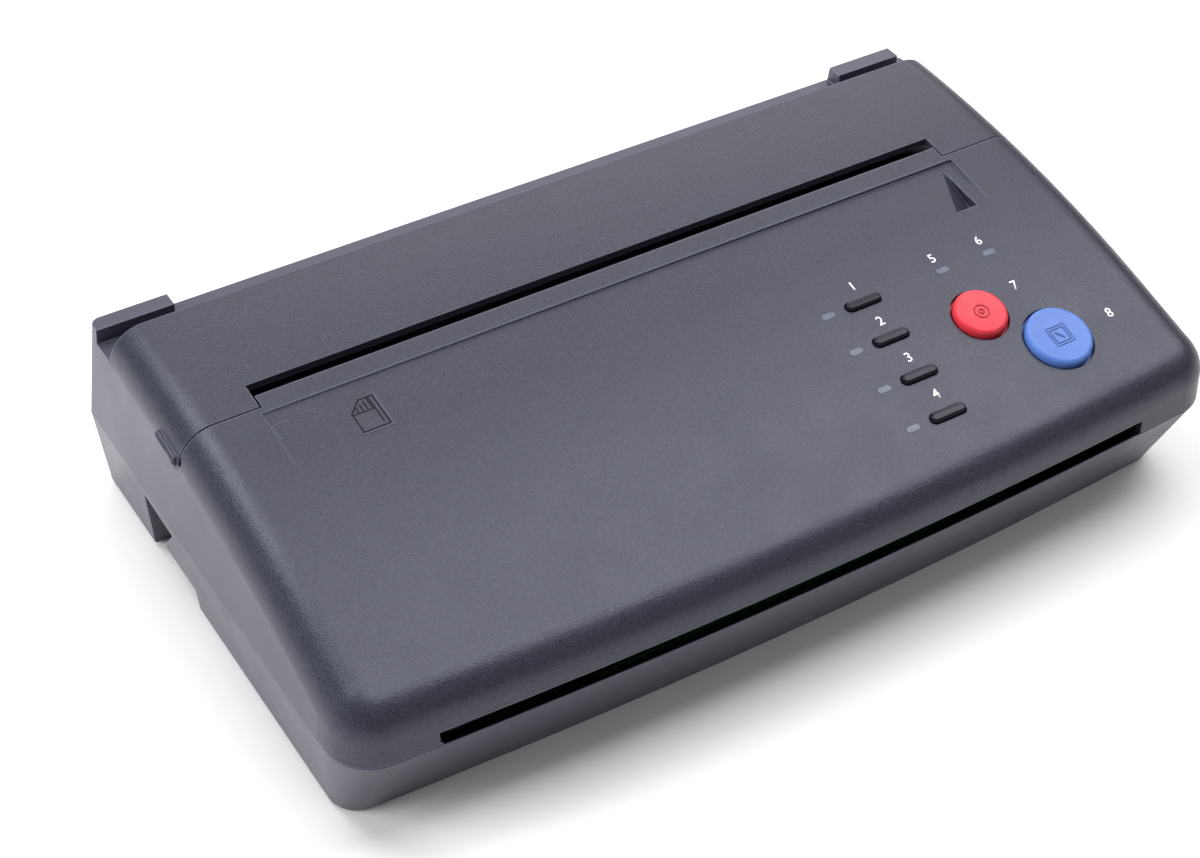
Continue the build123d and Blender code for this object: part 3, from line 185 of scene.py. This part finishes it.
def noise(material, size, detail=2.0, stretch=EVEN):
    """Noise with lumps of about the given size."""
    nodes, links = material.node_tree.nodes, material.node_tree.links
    texture = nodes.new("ShaderNodeTexNoise")
    texture.inputs["Scale"].default_value = 1.0 / (size * MM)
    texture.inputs["Detail"].default_value = detail
    links.new(object_place(material, stretch), texture.inputs["Vector"])
    return texture.outputs["Fac"]


def spread(material, value, low, high, new_low=0.0, new_high=1.0):
    """Stretches a value from one range to another."""
    nodes, links = material.node_tree.nodes, material.node_tree.links
    node = nodes.new("ShaderNodeMapRange")
    node.inputs["From Min"].default_value = low
    node.inputs["From Max"].default_value = high
    node.inputs["To Min"].default_value = new_low
    node.inputs["To Max"].default_value = new_high
    links.new(value, node.inputs["Value"])
    return node.outputs["Result"]


def tint(material, surface, factor, dark, light):
    """Blends the base colour between two shades."""
    nodes, links = material.node_tree.nodes, material.node_tree.links
    blend = nodes.new("ShaderNodeMix")
    blend.data_type = "RGBA"
    blend.inputs["A"].default_value = (*dark, 1.0)
    blend.inputs["B"].default_value = (*light, 1.0)
    links.new(factor, blend.inputs["Factor"])
    links.new(blend.outputs["Result"], surface.inputs["Base Color"])


def uneven_gloss(material, surface, value, roughness, change):
    """Makes the roughness follow a noise, by a little to either side."""
    gloss = spread(material, value, NOISE_LOW, NOISE_HIGH, roughness - change, roughness + change)
    material.node_tree.links.new(gloss, surface.inputs["Roughness"])


def raise_grain(material, surface, height, strength, depth, edge=0.0):
    """Feeds a height to the shader's normal, over edges softened by a small radius."""
    nodes, links = material.node_tree.nodes, material.node_tree.links
    bump = nodes.new("ShaderNodeBump")
    bump.inputs["Strength"].default_value = strength
    bump.inputs["Distance"].default_value = depth * MM
    links.new(height, bump.inputs["Height"])
    if edge > 0:
        soft = nodes.new("ShaderNodeBevel")
        soft.samples = 4
        soft.inputs["Radius"].default_value = edge * MM
        links.new(soft.outputs["Normal"], bump.inputs["Normal"])
    links.new(bump.outputs["Normal"], surface.inputs["Normal"])


def paint_edge_highlights(material, surface, radius, colour):
    """Paints a highlight along outer and inner edges, lighter where a softened normal parts from
    the true one.
    """
    nodes, links = material.node_tree.nodes, material.node_tree.links
    soft = nodes.new("ShaderNodeBevel")
    soft.samples = 6
    soft.inputs["Radius"].default_value = radius * MM
    flat = nodes.new("ShaderNodeNewGeometry")
    agreement = nodes.new("ShaderNodeVectorMath")
    agreement.operation = "DOT_PRODUCT"
    links.new(soft.outputs["Normal"], agreement.inputs[0])
    links.new(flat.outputs["Normal"], agreement.inputs[1])
    edge_highlight = spread(material, agreement.outputs["Value"], HIGHLIGHT_START, HIGHLIGHT_FULL)
    unhighlighted = surface.inputs["Base Color"].links[0].from_socket
    blend = nodes.new("ShaderNodeMix")
    blend.data_type = "RGBA"
    blend.inputs["B"].default_value = (*colour, 1.0)
    links.new(unhighlighted, blend.inputs["A"])
    links.new(edge_highlight, blend.inputs["Factor"])
    links.new(blend.outputs["Result"], surface.inputs["Base Color"])


def shades(colour, part):
    """A darker and a lighter shade of a colour."""
    dark = [value * (1 - part) for value in colour]
    light = [min(1.0, value * (1 + part)) for value in colour]
    return dark, light


def finish(name, colour, roughness, mottle=0.05, mottle_size=9.0, grain=0.1, grain_size=0.4,
           uneven=0.04, stretch=EVEN, edge=0.0, **more):
    """A surface with slight changes of shade and gloss and a fine grain."""
    material, surface = shader(name, colour, roughness, **more)
    patches = spread(material, noise(material, mottle_size, 3.0, stretch), NOISE_LOW, NOISE_HIGH)
    tint(material, surface, patches, *shades(colour, mottle))
    smears = noise(material, mottle_size * 0.45, 4.0, stretch)
    uneven_gloss(material, surface, smears, roughness, uneven)
    raise_grain(material, surface, noise(material, grain_size, 2.0, stretch), grain, 0.1, edge)
    return material


def grained(name, colour, roughness, grain, grain_size, sparkle, edge):
    """Spark-eroded plastic: a fine grain whose tops are painted a little lighter, as a painted
    sparkle highlight.
    """
    material, surface = shader(name, colour, roughness, sheen=COOL_SHEEN)
    height = noise(material, grain_size, 3.0)
    tops = spread(material, height, GRAIN_VALLEY, GRAIN_TOP)
    # painted highlight: the grain's tops are painted lighter as sparkle
    tint(material, surface, tops, *shades(colour, sparkle))
    uneven_gloss(material, surface, noise(material, 14.0, 3.0), roughness, 0.03)
    raise_grain(material, surface, height, grain, 0.16, edge)
    # painted highlight along the edges of the covers and the case
    paint_edge_highlights(material, surface, edge, [value * EDGE_HIGHLIGHT_SHADE for value in colour])
    return material


def spangled(name, colour, roughness, crystal_size):
    """Galvanised sheet with faint zinc crystals."""
    material, surface = shader(name, colour, roughness, metallic=1.0)
    nodes, links = material.node_tree.nodes, material.node_tree.links
    crystals = nodes.new("ShaderNodeTexVoronoi")
    crystals.inputs["Scale"].default_value = 1.0 / (crystal_size * MM)
    links.new(object_place(material), crystals.inputs["Vector"])
    split = nodes.new("ShaderNodeSeparateColor")
    links.new(crystals.outputs["Color"], split.inputs["Color"])
    tint(material, surface, split.outputs["Red"], *shades(colour, 0.05))
    gloss = spread(material, split.outputs["Green"], 0.0, 1.0, roughness - 0.03, roughness + 0.03)
    links.new(gloss, surface.inputs["Roughness"])
    raise_grain(material, surface, noise(material, 1.2), 0.06, 0.1)
    return material


def tracked(name, mask, track, pitch):
    """Circuit board: copper tracks showing through solder mask."""
    material, surface = shader(name, mask, 0.32, coat=0.25)
    nodes, links = material.node_tree.nodes, material.node_tree.links
    tracks = nodes.new("ShaderNodeTexBrick")
    tracks.inputs["Scale"].default_value = 1.0 / (pitch * MM)
    tracks.inputs["Mortar Size"].default_value = 0.035
    tracks.inputs["Color1"].default_value = (*mask, 1.0)
    tracks.inputs["Color2"].default_value = (*shades(mask, 0.25)[0], 1.0)
    tracks.inputs["Mortar"].default_value = (*track, 1.0)
    links.new(object_place(material), tracks.inputs["Vector"])
    links.new(tracks.outputs["Color"], surface.inputs["Base Color"])
    raise_grain(material, surface, tracks.outputs["Fac"], 0.25, 0.04)
    return material


def wired(name, colour, dark, pitch):
    """Flat cable: its wires side by side."""
    material, surface = shader(name, colour, 0.45)
    nodes, links = material.node_tree.nodes, material.node_tree.links
    wires = nodes.new("ShaderNodeTexWave")
    wires.bands_direction = "Y"
    wires.inputs["Scale"].default_value = 0.5 / (pitch * MM)
    links.new(object_place(material), wires.inputs["Vector"])
    tint(material, surface, wires.outputs["Fac"], dark, colour)
    raise_grain(material, surface, wires.outputs["Fac"], 0.5, 0.2)
    return material


def paint(material, *nodes):
    """Gives CAD nodes a material."""
    for name in nodes:
        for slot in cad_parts[name].material_slots:
            slot.material = material


# ------------------------------------------------------------------ places on the covers
def surface_height(y):
    """Height of the covers' top at y."""
    tangent_y = CREST_Y - CREST_RADIUS * math.sin(FRONT_SLOPE)
    if y > tangent_y:
        return CREST_Z - CREST_RADIUS + math.sqrt(CREST_RADIUS**2 - (CREST_Y - y)**2)
    tangent_z = CREST_Z - CREST_RADIUS * (1 - math.cos(FRONT_SLOPE))
    return tangent_z - math.tan(FRONT_SLOPE) * (tangent_y - y)


def seat(place, lift):
    """Where a mark sits over a place on the covers, square to them."""
    x, y = place
    tilt = min(math.asin((CREST_Y - y) / CREST_RADIUS), FRONT_SLOPE)
    up = Vector((0.0, -math.sin(tilt), math.cos(tilt)))
    spot = Vector((x, y, surface_height(y))) + up * lift
    return Matrix.Translation(spot * MM) @ Matrix.Rotation(tilt, 4, "X")


# ------------------------------------------------------------------ making pieces
def deselect():
    """Leaves nothing selected."""
    bpy.ops.object.select_all(action="DESELECT")


def join(pieces):
    """Joins pieces into the first of them, which is left active."""
    deselect()
    for piece in pieces:
        piece.select_set(True)
    bpy.context.view_layer.objects.active = pieces[0]
    bpy.ops.object.join()


def apply_modifier(kind, **settings):
    """Adds a modifier to the active piece, sets it and applies it."""
    bpy.ops.object.modifier_add(type=kind)
    modifier = bpy.context.active_object.modifiers[-1]
    for key, value in settings.items():
        setattr(modifier, key, value)
    bpy.ops.object.modifier_apply(modifier=modifier.name)


def keep(name, material, body):
    """Names the active piece, finishes it and lets it ride on its body."""
    piece = bpy.context.active_object
    bpy.ops.object.transform_apply(location=True, rotation=True, scale=True)
    piece.name = name
    piece.data.materials.clear()
    piece.data.materials.append(material)
    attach(piece, body)


def flat_ring(corners, radius, width, turn=0.0):
    """Starts a flat ring with the given number of corners; a width of nought leaves it filled."""
    deselect()
    bpy.ops.mesh.primitive_circle_add(vertices=corners, radius=radius * MM, fill_type="NGON",
                                      rotation=(0.0, 0.0, turn))
    bpy.ops.object.transform_apply(location=False, rotation=True, scale=False)
    if width > 0:
        bpy.ops.object.mode_set(mode="EDIT")
        bpy.ops.mesh.select_all(action="SELECT")
        bpy.ops.mesh.inset(thickness=width * MM)
        bpy.ops.mesh.delete(type="FACE")
        bpy.ops.object.mode_set(mode="OBJECT")
    return bpy.context.active_object


def flat_strip(x, y, width, length):
    """Starts a flat strip at a place seen from above."""
    deselect()
    bpy.ops.mesh.primitive_plane_add(size=1.0, location=(x * MM, y * MM, START_HEIGHT * MM))
    bpy.context.active_object.scale = (width * MM, length * MM, 1.0)
    bpy.ops.object.transform_apply(location=True, rotation=True, scale=True)
    return bpy.context.active_object


def line_across(y, left, right, width):
    """Starts a flat line from left to right."""
    return flat_strip((left + right) / 2, y, right - left, width)


def line_along(x, front, rear, width):
    """Starts a flat line from front to rear."""
    return flat_strip(x, (front + rear) / 2, width, rear - front)


def thicken(height, edge):
    """Gives the active flat piece its height and softens its edges."""
    apply_modifier("SOLIDIFY", thickness=height * MM, offset=0.0)
    apply_modifier("BEVEL", width=edge * MM, segments=2, limit_method="ANGLE",
                   angle_limit=math.radians(40))
    deselect()
    bpy.context.active_object.select_set(True)
    bpy.ops.object.mode_set(mode="EDIT")
    bpy.ops.mesh.select_all(action="SELECT")
    bpy.ops.mesh.normals_make_consistent(inside=False)
    bpy.ops.object.mode_set(mode="OBJECT")


def drop_on_cover(lift):
    """Drops the active flat piece on to the front cover from above, a little proud of it."""
    apply_modifier("SHRINKWRAP", target=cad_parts["front_cover"], wrap_method="PROJECT",
                   use_project_z=True, use_negative_direction=True, use_positive_direction=False,
                   offset=lift * MM)


def raised_sign(name, pieces, place, material, body):
    """Joins flat pieces into one sign raised on a button's dish."""
    join(pieces)
    thicken(SIGN_THICKNESS, SIGN_ROUND)
    bpy.context.active_object.matrix_world = seat(place, SIGN_LIFT)
    keep(name, material, body)


def raised_lines(name, lines, proud, material):
    """Joins flat lines, lays them on the front cover and gives them a little height."""
    join(lines)
    bpy.ops.object.mode_set(mode="EDIT")
    bpy.ops.mesh.select_all(action="SELECT")
    bpy.ops.mesh.subdivide(number_cuts=3)
    bpy.ops.object.mode_set(mode="OBJECT")
    drop_on_cover(proud / 2)
    thicken(proud, proud / 4)
    keep(name, material, "case")


def printed_figure(name, figure, x, y, height, material):
    """A plain figure printed on the front cover."""
    deselect()
    bpy.ops.object.text_add(location=(x * MM, y * MM, START_HEIGHT * MM))
    writing = bpy.context.active_object.data
    writing.body = figure
    writing.size = height * MM * FONT_SCALE
    writing.offset = height * MM * FONT_WEIGHT
    writing.align_x = "CENTER"
    writing.align_y = "CENTER"
    writing.resolution_u = 8
    bpy.ops.object.convert(target="MESH")
    bpy.ops.object.transform_apply(location=True, rotation=True, scale=True)
    drop_on_cover(INK_LIFT)
    apply_modifier("SOLIDIFY", thickness=INK_THICKNESS * MM, offset=0.0)
    keep(name, material, "case")


# ------------------------------------------------------------------ settings
def colour_setting(name, description, default):
    """A colour that the panel shows."""
    return FloatVectorProperty(name=name, description=description, subtype="COLOR", size=3, min=0,
                               max=1, default=default)


class CopierColours(PropertyGroup):
    """Colours of the copier."""
    covers: colour_setting("Covers", "Front cover and lid", (0.027, 0.028, 0.041))
    case: colour_setting("Case", "Lower case", (0.047, 0.047, 0.066))
    stop: colour_setting("Stop button", "Upper round button", (0.55, 0.032, 0.048))
    copy: colour_setting("Copy button", "Lower round button", (0.078, 0.160, 0.46))
    marks: colour_setting("Marks", "Printed figures", (0.86, 0.87, 0.90))


class CopierSizes(PropertyGroup):
    """Sizes of the marks and of the plastic's grain."""
    figure_height: FloatProperty(name="Figure height", default=3.1, min=1.0, max=4.0,
                                 description="Height of the printed figures, in mm")
    grain_size: FloatProperty(name="Grain size", default=0.48, min=0.1, max=2.0,
                              description="Size of the plastic's grain, in mm")
    edge_softness: FloatProperty(name="Edge softness", default=0.6, min=0.0, max=1.0,
                                 description="Radius that edges shine at, in mm")


# ------------------------------------------------------------------ operators
class COPIER_OT_case(Operator):
    """Finish the case, the covers and the rubber feet"""
    bl_idname = "copier.case"
    bl_label = "Case and covers"

    def execute(self, context):
        colours, sizes = context.scene.copier_colours, context.scene.copier_sizes
        paint(grained("grained_cover", colours.covers, 0.37, grain=0.62,
                      grain_size=sizes.grain_size, sparkle=0.34, edge=sizes.edge_softness),
              "front_cover", "rear_cover")
        paint(grained("satin_case", colours.case, 0.38, grain=0.14,
                      grain_size=sizes.grain_size * 0.6, sparkle=0.07, edge=sizes.edge_softness),
              "base_case")
        paint(finish("foot_rubber", (0.028, 0.028, 0.030), 0.78, mottle=0.2, grain=0.4,
                     grain_size=0.5),
              "rubber_feet")
        return {"FINISHED"}


class COPIER_OT_controls(Operator):
    """Finish the keys, buttons and lamp windows, and raise the buttons' signs"""
    bl_idname = "copier.controls"
    bl_label = "Keys, buttons and lamps"

    def execute(self, context):
        colours = context.scene.copier_colours
        paint(finish("gloss_black", (0.008, 0.008, 0.012), 0.27, mottle=0.1, grain=0.05,
                     grain_size=0.9, specular=0.28, sheen=COOL_SHEEN),
              "mode_key_1", "mode_key_2", "mode_key_3", "mode_key_4", "rocker_switch")
        paint(self.button_plastic("satin_red", colours.stop), "stop_button")
        paint(self.button_plastic("satin_blue", colours.copy), "copy_button")
        paint(finish("lamp_window", (0.10, 0.118, 0.165), 0.36, mottle=0.15, mottle_size=1.5,
                     grain=0.1, grain_size=0.6, transmission=0.2),
              "mode_lamps", "status_lamps")
        paint(finish("matt_black", (0.018, 0.018, 0.019), 0.52, mottle=0.1, grain=0.25,
                     grain_size=0.35),
              "tact_switches", "switch_frame", "dc_jack", "scanner_bar", "paper_sensors",
              "roller_bushes")
        # The signs are drawn in painted shade, darker than their buttons.
        self.stop_sign(self.shaded_sign_plastic("shaded_red", colours.stop))
        self.copy_sign(self.shaded_sign_plastic("shaded_blue", colours.copy))
        return {"FINISHED"}

    def button_plastic(self, name, colour):
        """Satin plastic of the round buttons."""
        return finish(name, colour, 0.40, mottle=0.04, mottle_size=5.0, grain=0.14, grain_size=0.5,
                      specular=0.35)

    def shaded_sign_plastic(self, name, colour):
        """A darker copy of the buttons' plastic: painted shade for the signs' steep sides."""
        return finish(name, shades(colour, 0.38)[0], 0.5, specular=0.2)

    def stop_sign(self, material):
        """A small ring in an eight-sided one."""
        pieces = [flat_ring(corners, radius, SIGN_LINE) for corners, radius in STOP_RINGS]
        raised_sign("stop_sign", pieces, STOP_PLACE, material, "stop_button")

    def copy_sign(self, material):
        """Two square frames round a slanting bar."""
        square = math.radians(45)
        bar = flat_ring(4, COPY_BAR_RADIUS, 0.0, square)
        bar.scale = COPY_BAR_STRETCH
        bar.rotation_euler = (0.0, 0.0, COPY_BAR_TURN)
        bpy.ops.object.transform_apply(location=False, rotation=True, scale=True)
        frames = [flat_ring(4, radius, SIGN_LINE, square) for radius in COPY_FRAMES]
        raised_sign("copy_sign", [*frames, bar], COPY_PLACE, material, "copy_button")


class COPIER_OT_drive(Operator):
    """Finish the shafts, rollers, gears, plates and motor"""
    bl_idname = "copier.drive"
    bl_label = "Drive and paper path"

    def execute(self, context):
        self.metal_parts()
        self.roller_sleeves()
        self.gears()
        self.head_and_scanner()
        return {"FINISHED"}

    def metal_parts(self):
        """Shafts, plates, springs, motor and heatsink."""
        paint(finish("ground_steel", (0.60, 0.61, 0.63), 0.27, mottle=0.05, mottle_size=2.0,
                     grain=0.12, grain_size=0.25, stretch=ROUND_X, metallic=1.0),
              "platen_shaft", "feed_shaft", "scan_shaft", "exit_shaft", "idler_stubs", "hinge_pins")
        paint(spangled("zinc_sheet", (0.56, 0.58, 0.60), 0.40, crystal_size=3.0),
              "side_plate_left", "side_plate_right", "head_bracket", "paper_guides")
        paint(finish("spring_steel", (0.50, 0.50, 0.50), 0.30, grain=0.1, stretch=ALONG_X,
                     metallic=1.0),
              "head_springs")
        paint(finish("motor_can", (0.13, 0.13, 0.14), 0.34, mottle=0.08, grain=0.1, stretch=ALONG_X,
                     metallic=0.9),
              "stepper_motor")
        paint(finish("extruded_aluminium", (0.70, 0.71, 0.73), 0.33, grain=0.15, grain_size=0.3,
                     stretch=ALONG_X, metallic=1.0),
              "head_heatsink")

    def roller_sleeves(self):
        """Black rubber that carries the paper and white rubber that it is scanned on."""
        paint(finish("ground_rubber", (0.022, 0.022, 0.024), 0.60, mottle=0.12, grain=0.35,
                     grain_size=0.3),
              "platen_roller", "feed_roller", "exit_roller")
        paint(finish("white_rubber", (0.70, 0.70, 0.67), 0.58, mottle=0.04, grain=0.2,
                     grain_size=0.4),
              "scan_roller")

    def gears(self):
        """Moulded gears and the motor's brass pinion."""
        paint(finish("natural_acetal", (0.74, 0.73, 0.67), 0.40, mottle=0.04, grain=0.08, edge=0.1),
              "platen_gear", "feed_gear", "scan_gear", "exit_gear", "lower_idler", "upper_idler",
              "bridge_idler", "front_idler")
        paint(finish("sintered_brass", (0.60, 0.42, 0.18), 0.34, mottle=0.08, grain=0.2,
                     metallic=1.0),
              "motor_pinion")

    def head_and_scanner(self):
        """Print head, scanner glass and separation pad."""
        paint(finish("glazed_ceramic", (0.64, 0.61, 0.52), 0.22, mottle=0.04, grain=0.03, coat=0.4),
              "print_head")
        paint(finish("scanner_glass", (0.80, 0.90, 0.87), 0.05, mottle=0.02, grain=0.01,
                     uneven=0.01, transmission=0.9, ior=1.5),
              "scanner_glass")
        paint(finish("friction_pad", (0.28, 0.09, 0.05), 0.82, mottle=0.15, grain=0.5,
                     grain_size=0.5),
              "separation_pad")


class COPIER_OT_electrics(Operator):
    """Finish the boards, cable and screws"""
    bl_idname = "copier.electrics"
    bl_label = "Boards and screws"

    def execute(self, context):
        paint(tracked("solder_mask", (0.02, 0.15, 0.06), (0.05, 0.26, 0.10), pitch=9.0),
              "panel_board", "main_board")
        paint(finish("moulded_epoxy", (0.022, 0.022, 0.024), 0.46, mottle=0.1, grain=0.3,
                     grain_size=0.3),
              "board_parts")
        paint(wired("flat_cable", (0.66, 0.66, 0.62), (0.42, 0.42, 0.40), pitch=1.27),
              "ribbon_cable")
        paint(finish("natural_nylon", (0.70, 0.69, 0.62), 0.48, mottle=0.04, grain=0.1),
              "panel_socket")
        paint(finish("led_lens", (0.82, 0.84, 0.80), 0.20, mottle=0.03, grain=0.02,
                     transmission=0.4),
              "panel_leds")
        paint(finish("zinc_screw", (0.52, 0.52, 0.54), 0.36, mottle=0.06, grain=0.1, metallic=1.0),
              "case_screws", "board_screws")
        return {"FINISHED"}


class COPIER_OT_marks(Operator):
    """Print plain figures by the controls, and draw the paper rest's marks in painted shade and
    painted highlight
    """
    bl_idname = "copier.marks"
    bl_label = "Marks"

    def execute(self, context):
        colours, sizes = context.scene.copier_colours, context.scene.copier_sizes
        ink = finish("white_print", colours.marks, 0.5, mottle=0.02, grain=0.1, grain_size=0.3)
        for name, figure, x, y in FIGURES:
            printed_figure(name, figure, x, y, sizes.figure_height, ink)
        # painted shade: strips darker than the covers stand for the shadowed grooves of the sheet
        # sign
        painted_groove = finish("groove_shade", shades(colours.covers, 0.75)[0], 0.6, specular=0.15)
        # painted highlight: lines lighter than the covers stand for lit edges of the sign and the
        # rest
        lit_colour = [value * LIT_SHADE for value in colours.covers]
        painted_highlight = finish("painted_highlight_edge", lit_colour, 0.34)
        self.sheet_sign(painted_groove)
        self.sheet_sign_edge(painted_highlight)
        self.rest_edge(painted_highlight)
        return {"FINISHED"}

    def sheet_sign(self, material):
        """A sheet with its rear left corner folded over, and a second sheet's edges inside it,
        drawn as dark strips of painted shade.
        """
        half = SHEET_LINE / 2
        fold_front = SHEET_REAR - FOLD
        lines = [
            line_along(SHEET_LEFT + half, SHEET_FRONT, fold_front, SHEET_LINE),
            line_across(SHEET_FRONT + half, SHEET_LEFT, SHEET_RIGHT, SHEET_LINE),
            line_along(SHEET_RIGHT - half, SHEET_FRONT, SHEET_REAR, SHEET_LINE),
            line_across(SHEET_REAR - half, SHEET_LEFT + FOLD, SHEET_RIGHT, SHEET_LINE),
            line_across(fold_front - 0.4, SHEET_LEFT, SHEET_RIGHT - 1.4, SHEET_LINE),
            line_along(SHEET_RIGHT - 1.5, SHEET_FRONT + 1.4, SHEET_REAR - 0.2, SHEET_LINE),
            self.fold_line(),
        ]
        for index in range(HATCH_COUNT):
            x = SHEET_LEFT + HATCH_FIRST + index * HATCH_PITCH
            top = SHEET_REAR - HATCH_TOP - (HATCH_COUNT - 1 - index) * HATCH_STEP
            lines.append(line_along(x, fold_front, top, SHEET_LINE))
        raised_lines("sheet_sign", lines, SHEET_PROUD, material)

    def fold_line(self):
        """The slanting line across the sheet's folded corner."""
        line = flat_strip(0.0, 0.0, SHEET_LINE, FOLD * FOLD_SLANT)
        line.rotation_euler = (0.0, 0.0, math.radians(-45))
        line.location = ((SHEET_LEFT + FOLD / 2) * MM, (SHEET_REAR - FOLD / 2) * MM, 0.0)
        bpy.ops.object.transform_apply(location=True, rotation=True, scale=True)
        return line

    def sheet_sign_edge(self, material):
        """The sheet's front and right edges, drawn as lines of painted highlight."""
        lines = [
            line_across(SHEET_FRONT - 0.4, SHEET_LEFT - 0.1, SHEET_RIGHT + 0.3, LIT_LINE),
            line_along(SHEET_RIGHT + 0.45, SHEET_FRONT - 0.55, SHEET_REAR + 0.15, LIT_SIDE_LINE),
        ]
        raised_lines("sheet_sign_edge", lines, LIT_PROUD, material)

    def rest_edge(self, material):
        """Painted highlight along the rear edge of the paper rest, and on the corner mark at its
        left end.
        """
        lines = [
            line_across(REST_REAR, REST_LEFT, REST_RIGHT, REST_LINE),
            line_across(CORNER_REAR, REST_LEFT + 0.8, REST_LEFT + 5.0, CORNER_LINE),
            line_along(REST_LEFT + 0.9, CORNER_FRONT, CORNER_REAR, CORNER_LINE),
        ]
        raised_lines("rest_edge", lines, REST_PROUD, material)


class COPIER_OT_stage(Operator):
    """Set up the floor, the soft studio light and the camera"""
    bl_idname = "copier.stage"
    bl_label = "Studio"

    def execute(self, context):
        deselect()
        self.add_floor()
        self.add_room(context)
        for light in LIGHTS:
            self.add_light(*light)
        context.scene.view_settings.view_transform = "Standard"
        self.add_camera(context)
        return {"FINISHED"}

    def add_floor(self):
        """A wide white floor just under the feet."""
        bpy.ops.mesh.primitive_plane_add(size=FLOOR_SIDE, location=(0.0, 0.0, -FLOOR_DROP * MM))
        floor = bpy.context.active_object
        floor.name = "floor"
        white, _ = shader("floor_white", (FLOOR_SHADE,) * 3, 0.9, specular=0.1)
        floor.data.materials.append(white)

    def add_room(self, context):
        """The faint even light of a white room."""
        world = bpy.data.worlds.new("studio")
        world.use_nodes = True
        background = world.node_tree.nodes["Background"]
        background.inputs["Color"].default_value = (*ROOM_COLOUR, 1.0)
        background.inputs["Strength"].default_value = ROOM_STRENGTH
        context.scene.world = world

    def add_light(self, name, place, aim, sides, power, mirrored):
        """A soft rectangular light."""
        bpy.ops.object.light_add(type="AREA", location=place)
        lamp = bpy.context.active_object
        lamp.name = name
        lamp.data.shape = "RECTANGLE"
        lamp.data.size, lamp.data.size_y = sides
        lamp.data.energy = power
        lamp.visible_glossy = mirrored
        lamp.rotation_mode = "QUATERNION"
        lamp.rotation_quaternion = (Vector(aim) - Vector(place)).to_track_quat("-Z", "Y")

    def add_camera(self, context):
        """The camera over the left front corner, looking down at the copier."""
        bpy.ops.object.camera_add()
        camera = bpy.context.active_object
        camera.name = "camera"
        back = Vector((math.sin(CAMERA_YAW) * math.cos(CAMERA_PITCH),
                       -math.cos(CAMERA_YAW) * math.cos(CAMERA_PITCH),
                       math.sin(CAMERA_PITCH)))
        right = Vector((math.cos(CAMERA_YAW), math.sin(CAMERA_YAW), 0.0))
        up = back.cross(right)
        rolled_right = math.cos(CAMERA_ROLL) * right + math.sin(CAMERA_ROLL) * up
        rolled_up = -math.sin(CAMERA_ROLL) * right + math.cos(CAMERA_ROLL) * up
        turn = Matrix((rolled_right, rolled_up, back)).transposed().to_4x4()
        camera.matrix_world = Matrix.Translation(CAMERA_PLACE) @ turn
        camera.data.sensor_width = SENSOR_WIDTH
        camera.data.lens = FOCAL_LENGTH / FRAME_WIDTH * SENSOR_WIDTH
        camera.data.shift_x = (FRAME_WIDTH / 2 - CENTRE_X) / FRAME_WIDTH
        camera.data.shift_y = (CENTRE_Y - FRAME_HEIGHT / 2) / FRAME_WIDTH
        camera.data.clip_start = 0.01
        context.scene.camera = camera


class COPIER_PT_panel(Panel):
    """The copier's settings and operators, in the 3D view's sidebar"""
    bl_idname = "COPIER_PT_panel"
    bl_label = "Stencil copier"
    bl_space_type = "VIEW_3D"
    bl_region_type = "UI"
    bl_category = "Copier"

    def draw(self, context):
        layout = self.layout
        for name in ("covers", "case", "stop", "copy", "marks"):
            layout.prop(context.scene.copier_colours, name)
        for name in ("figure_height", "grain_size", "edge_softness"):
            layout.prop(context.scene.copier_sizes, name)
        for operator in OPERATORS:
            layout.operator(operator.bl_idname)


OPERATORS = (COPIER_OT_case, COPIER_OT_controls, COPIER_OT_drive, COPIER_OT_electrics,
             COPIER_OT_marks, COPIER_OT_stage)
CLASSES = (CopierColours, CopierSizes, *OPERATORS, COPIER_PT_panel)


def register():
    """Adds the classes and the scene's settings."""
    for cls in CLASSES:
        bpy.utils.register_class(cls)
    bpy.types.Scene.copier_colours = PointerProperty(type=CopierColours)
    bpy.types.Scene.copier_sizes = PointerProperty(type=CopierSizes)


def unregister():
    """Removes what register added."""
    del bpy.types.Scene.copier_sizes
    del bpy.types.Scene.copier_colours
    for cls in reversed(CLASSES):
        bpy.utils.unregister_class(cls)


def main():
    """Finishes the whole copier."""
    register()
    bpy.ops.copier.case()
    bpy.ops.copier.controls()
    bpy.ops.copier.drive()
    bpy.ops.copier.electrics()
    bpy.ops.copier.marks()
    bpy.ops.copier.stage()


if __name__ == "__main__":
    main()
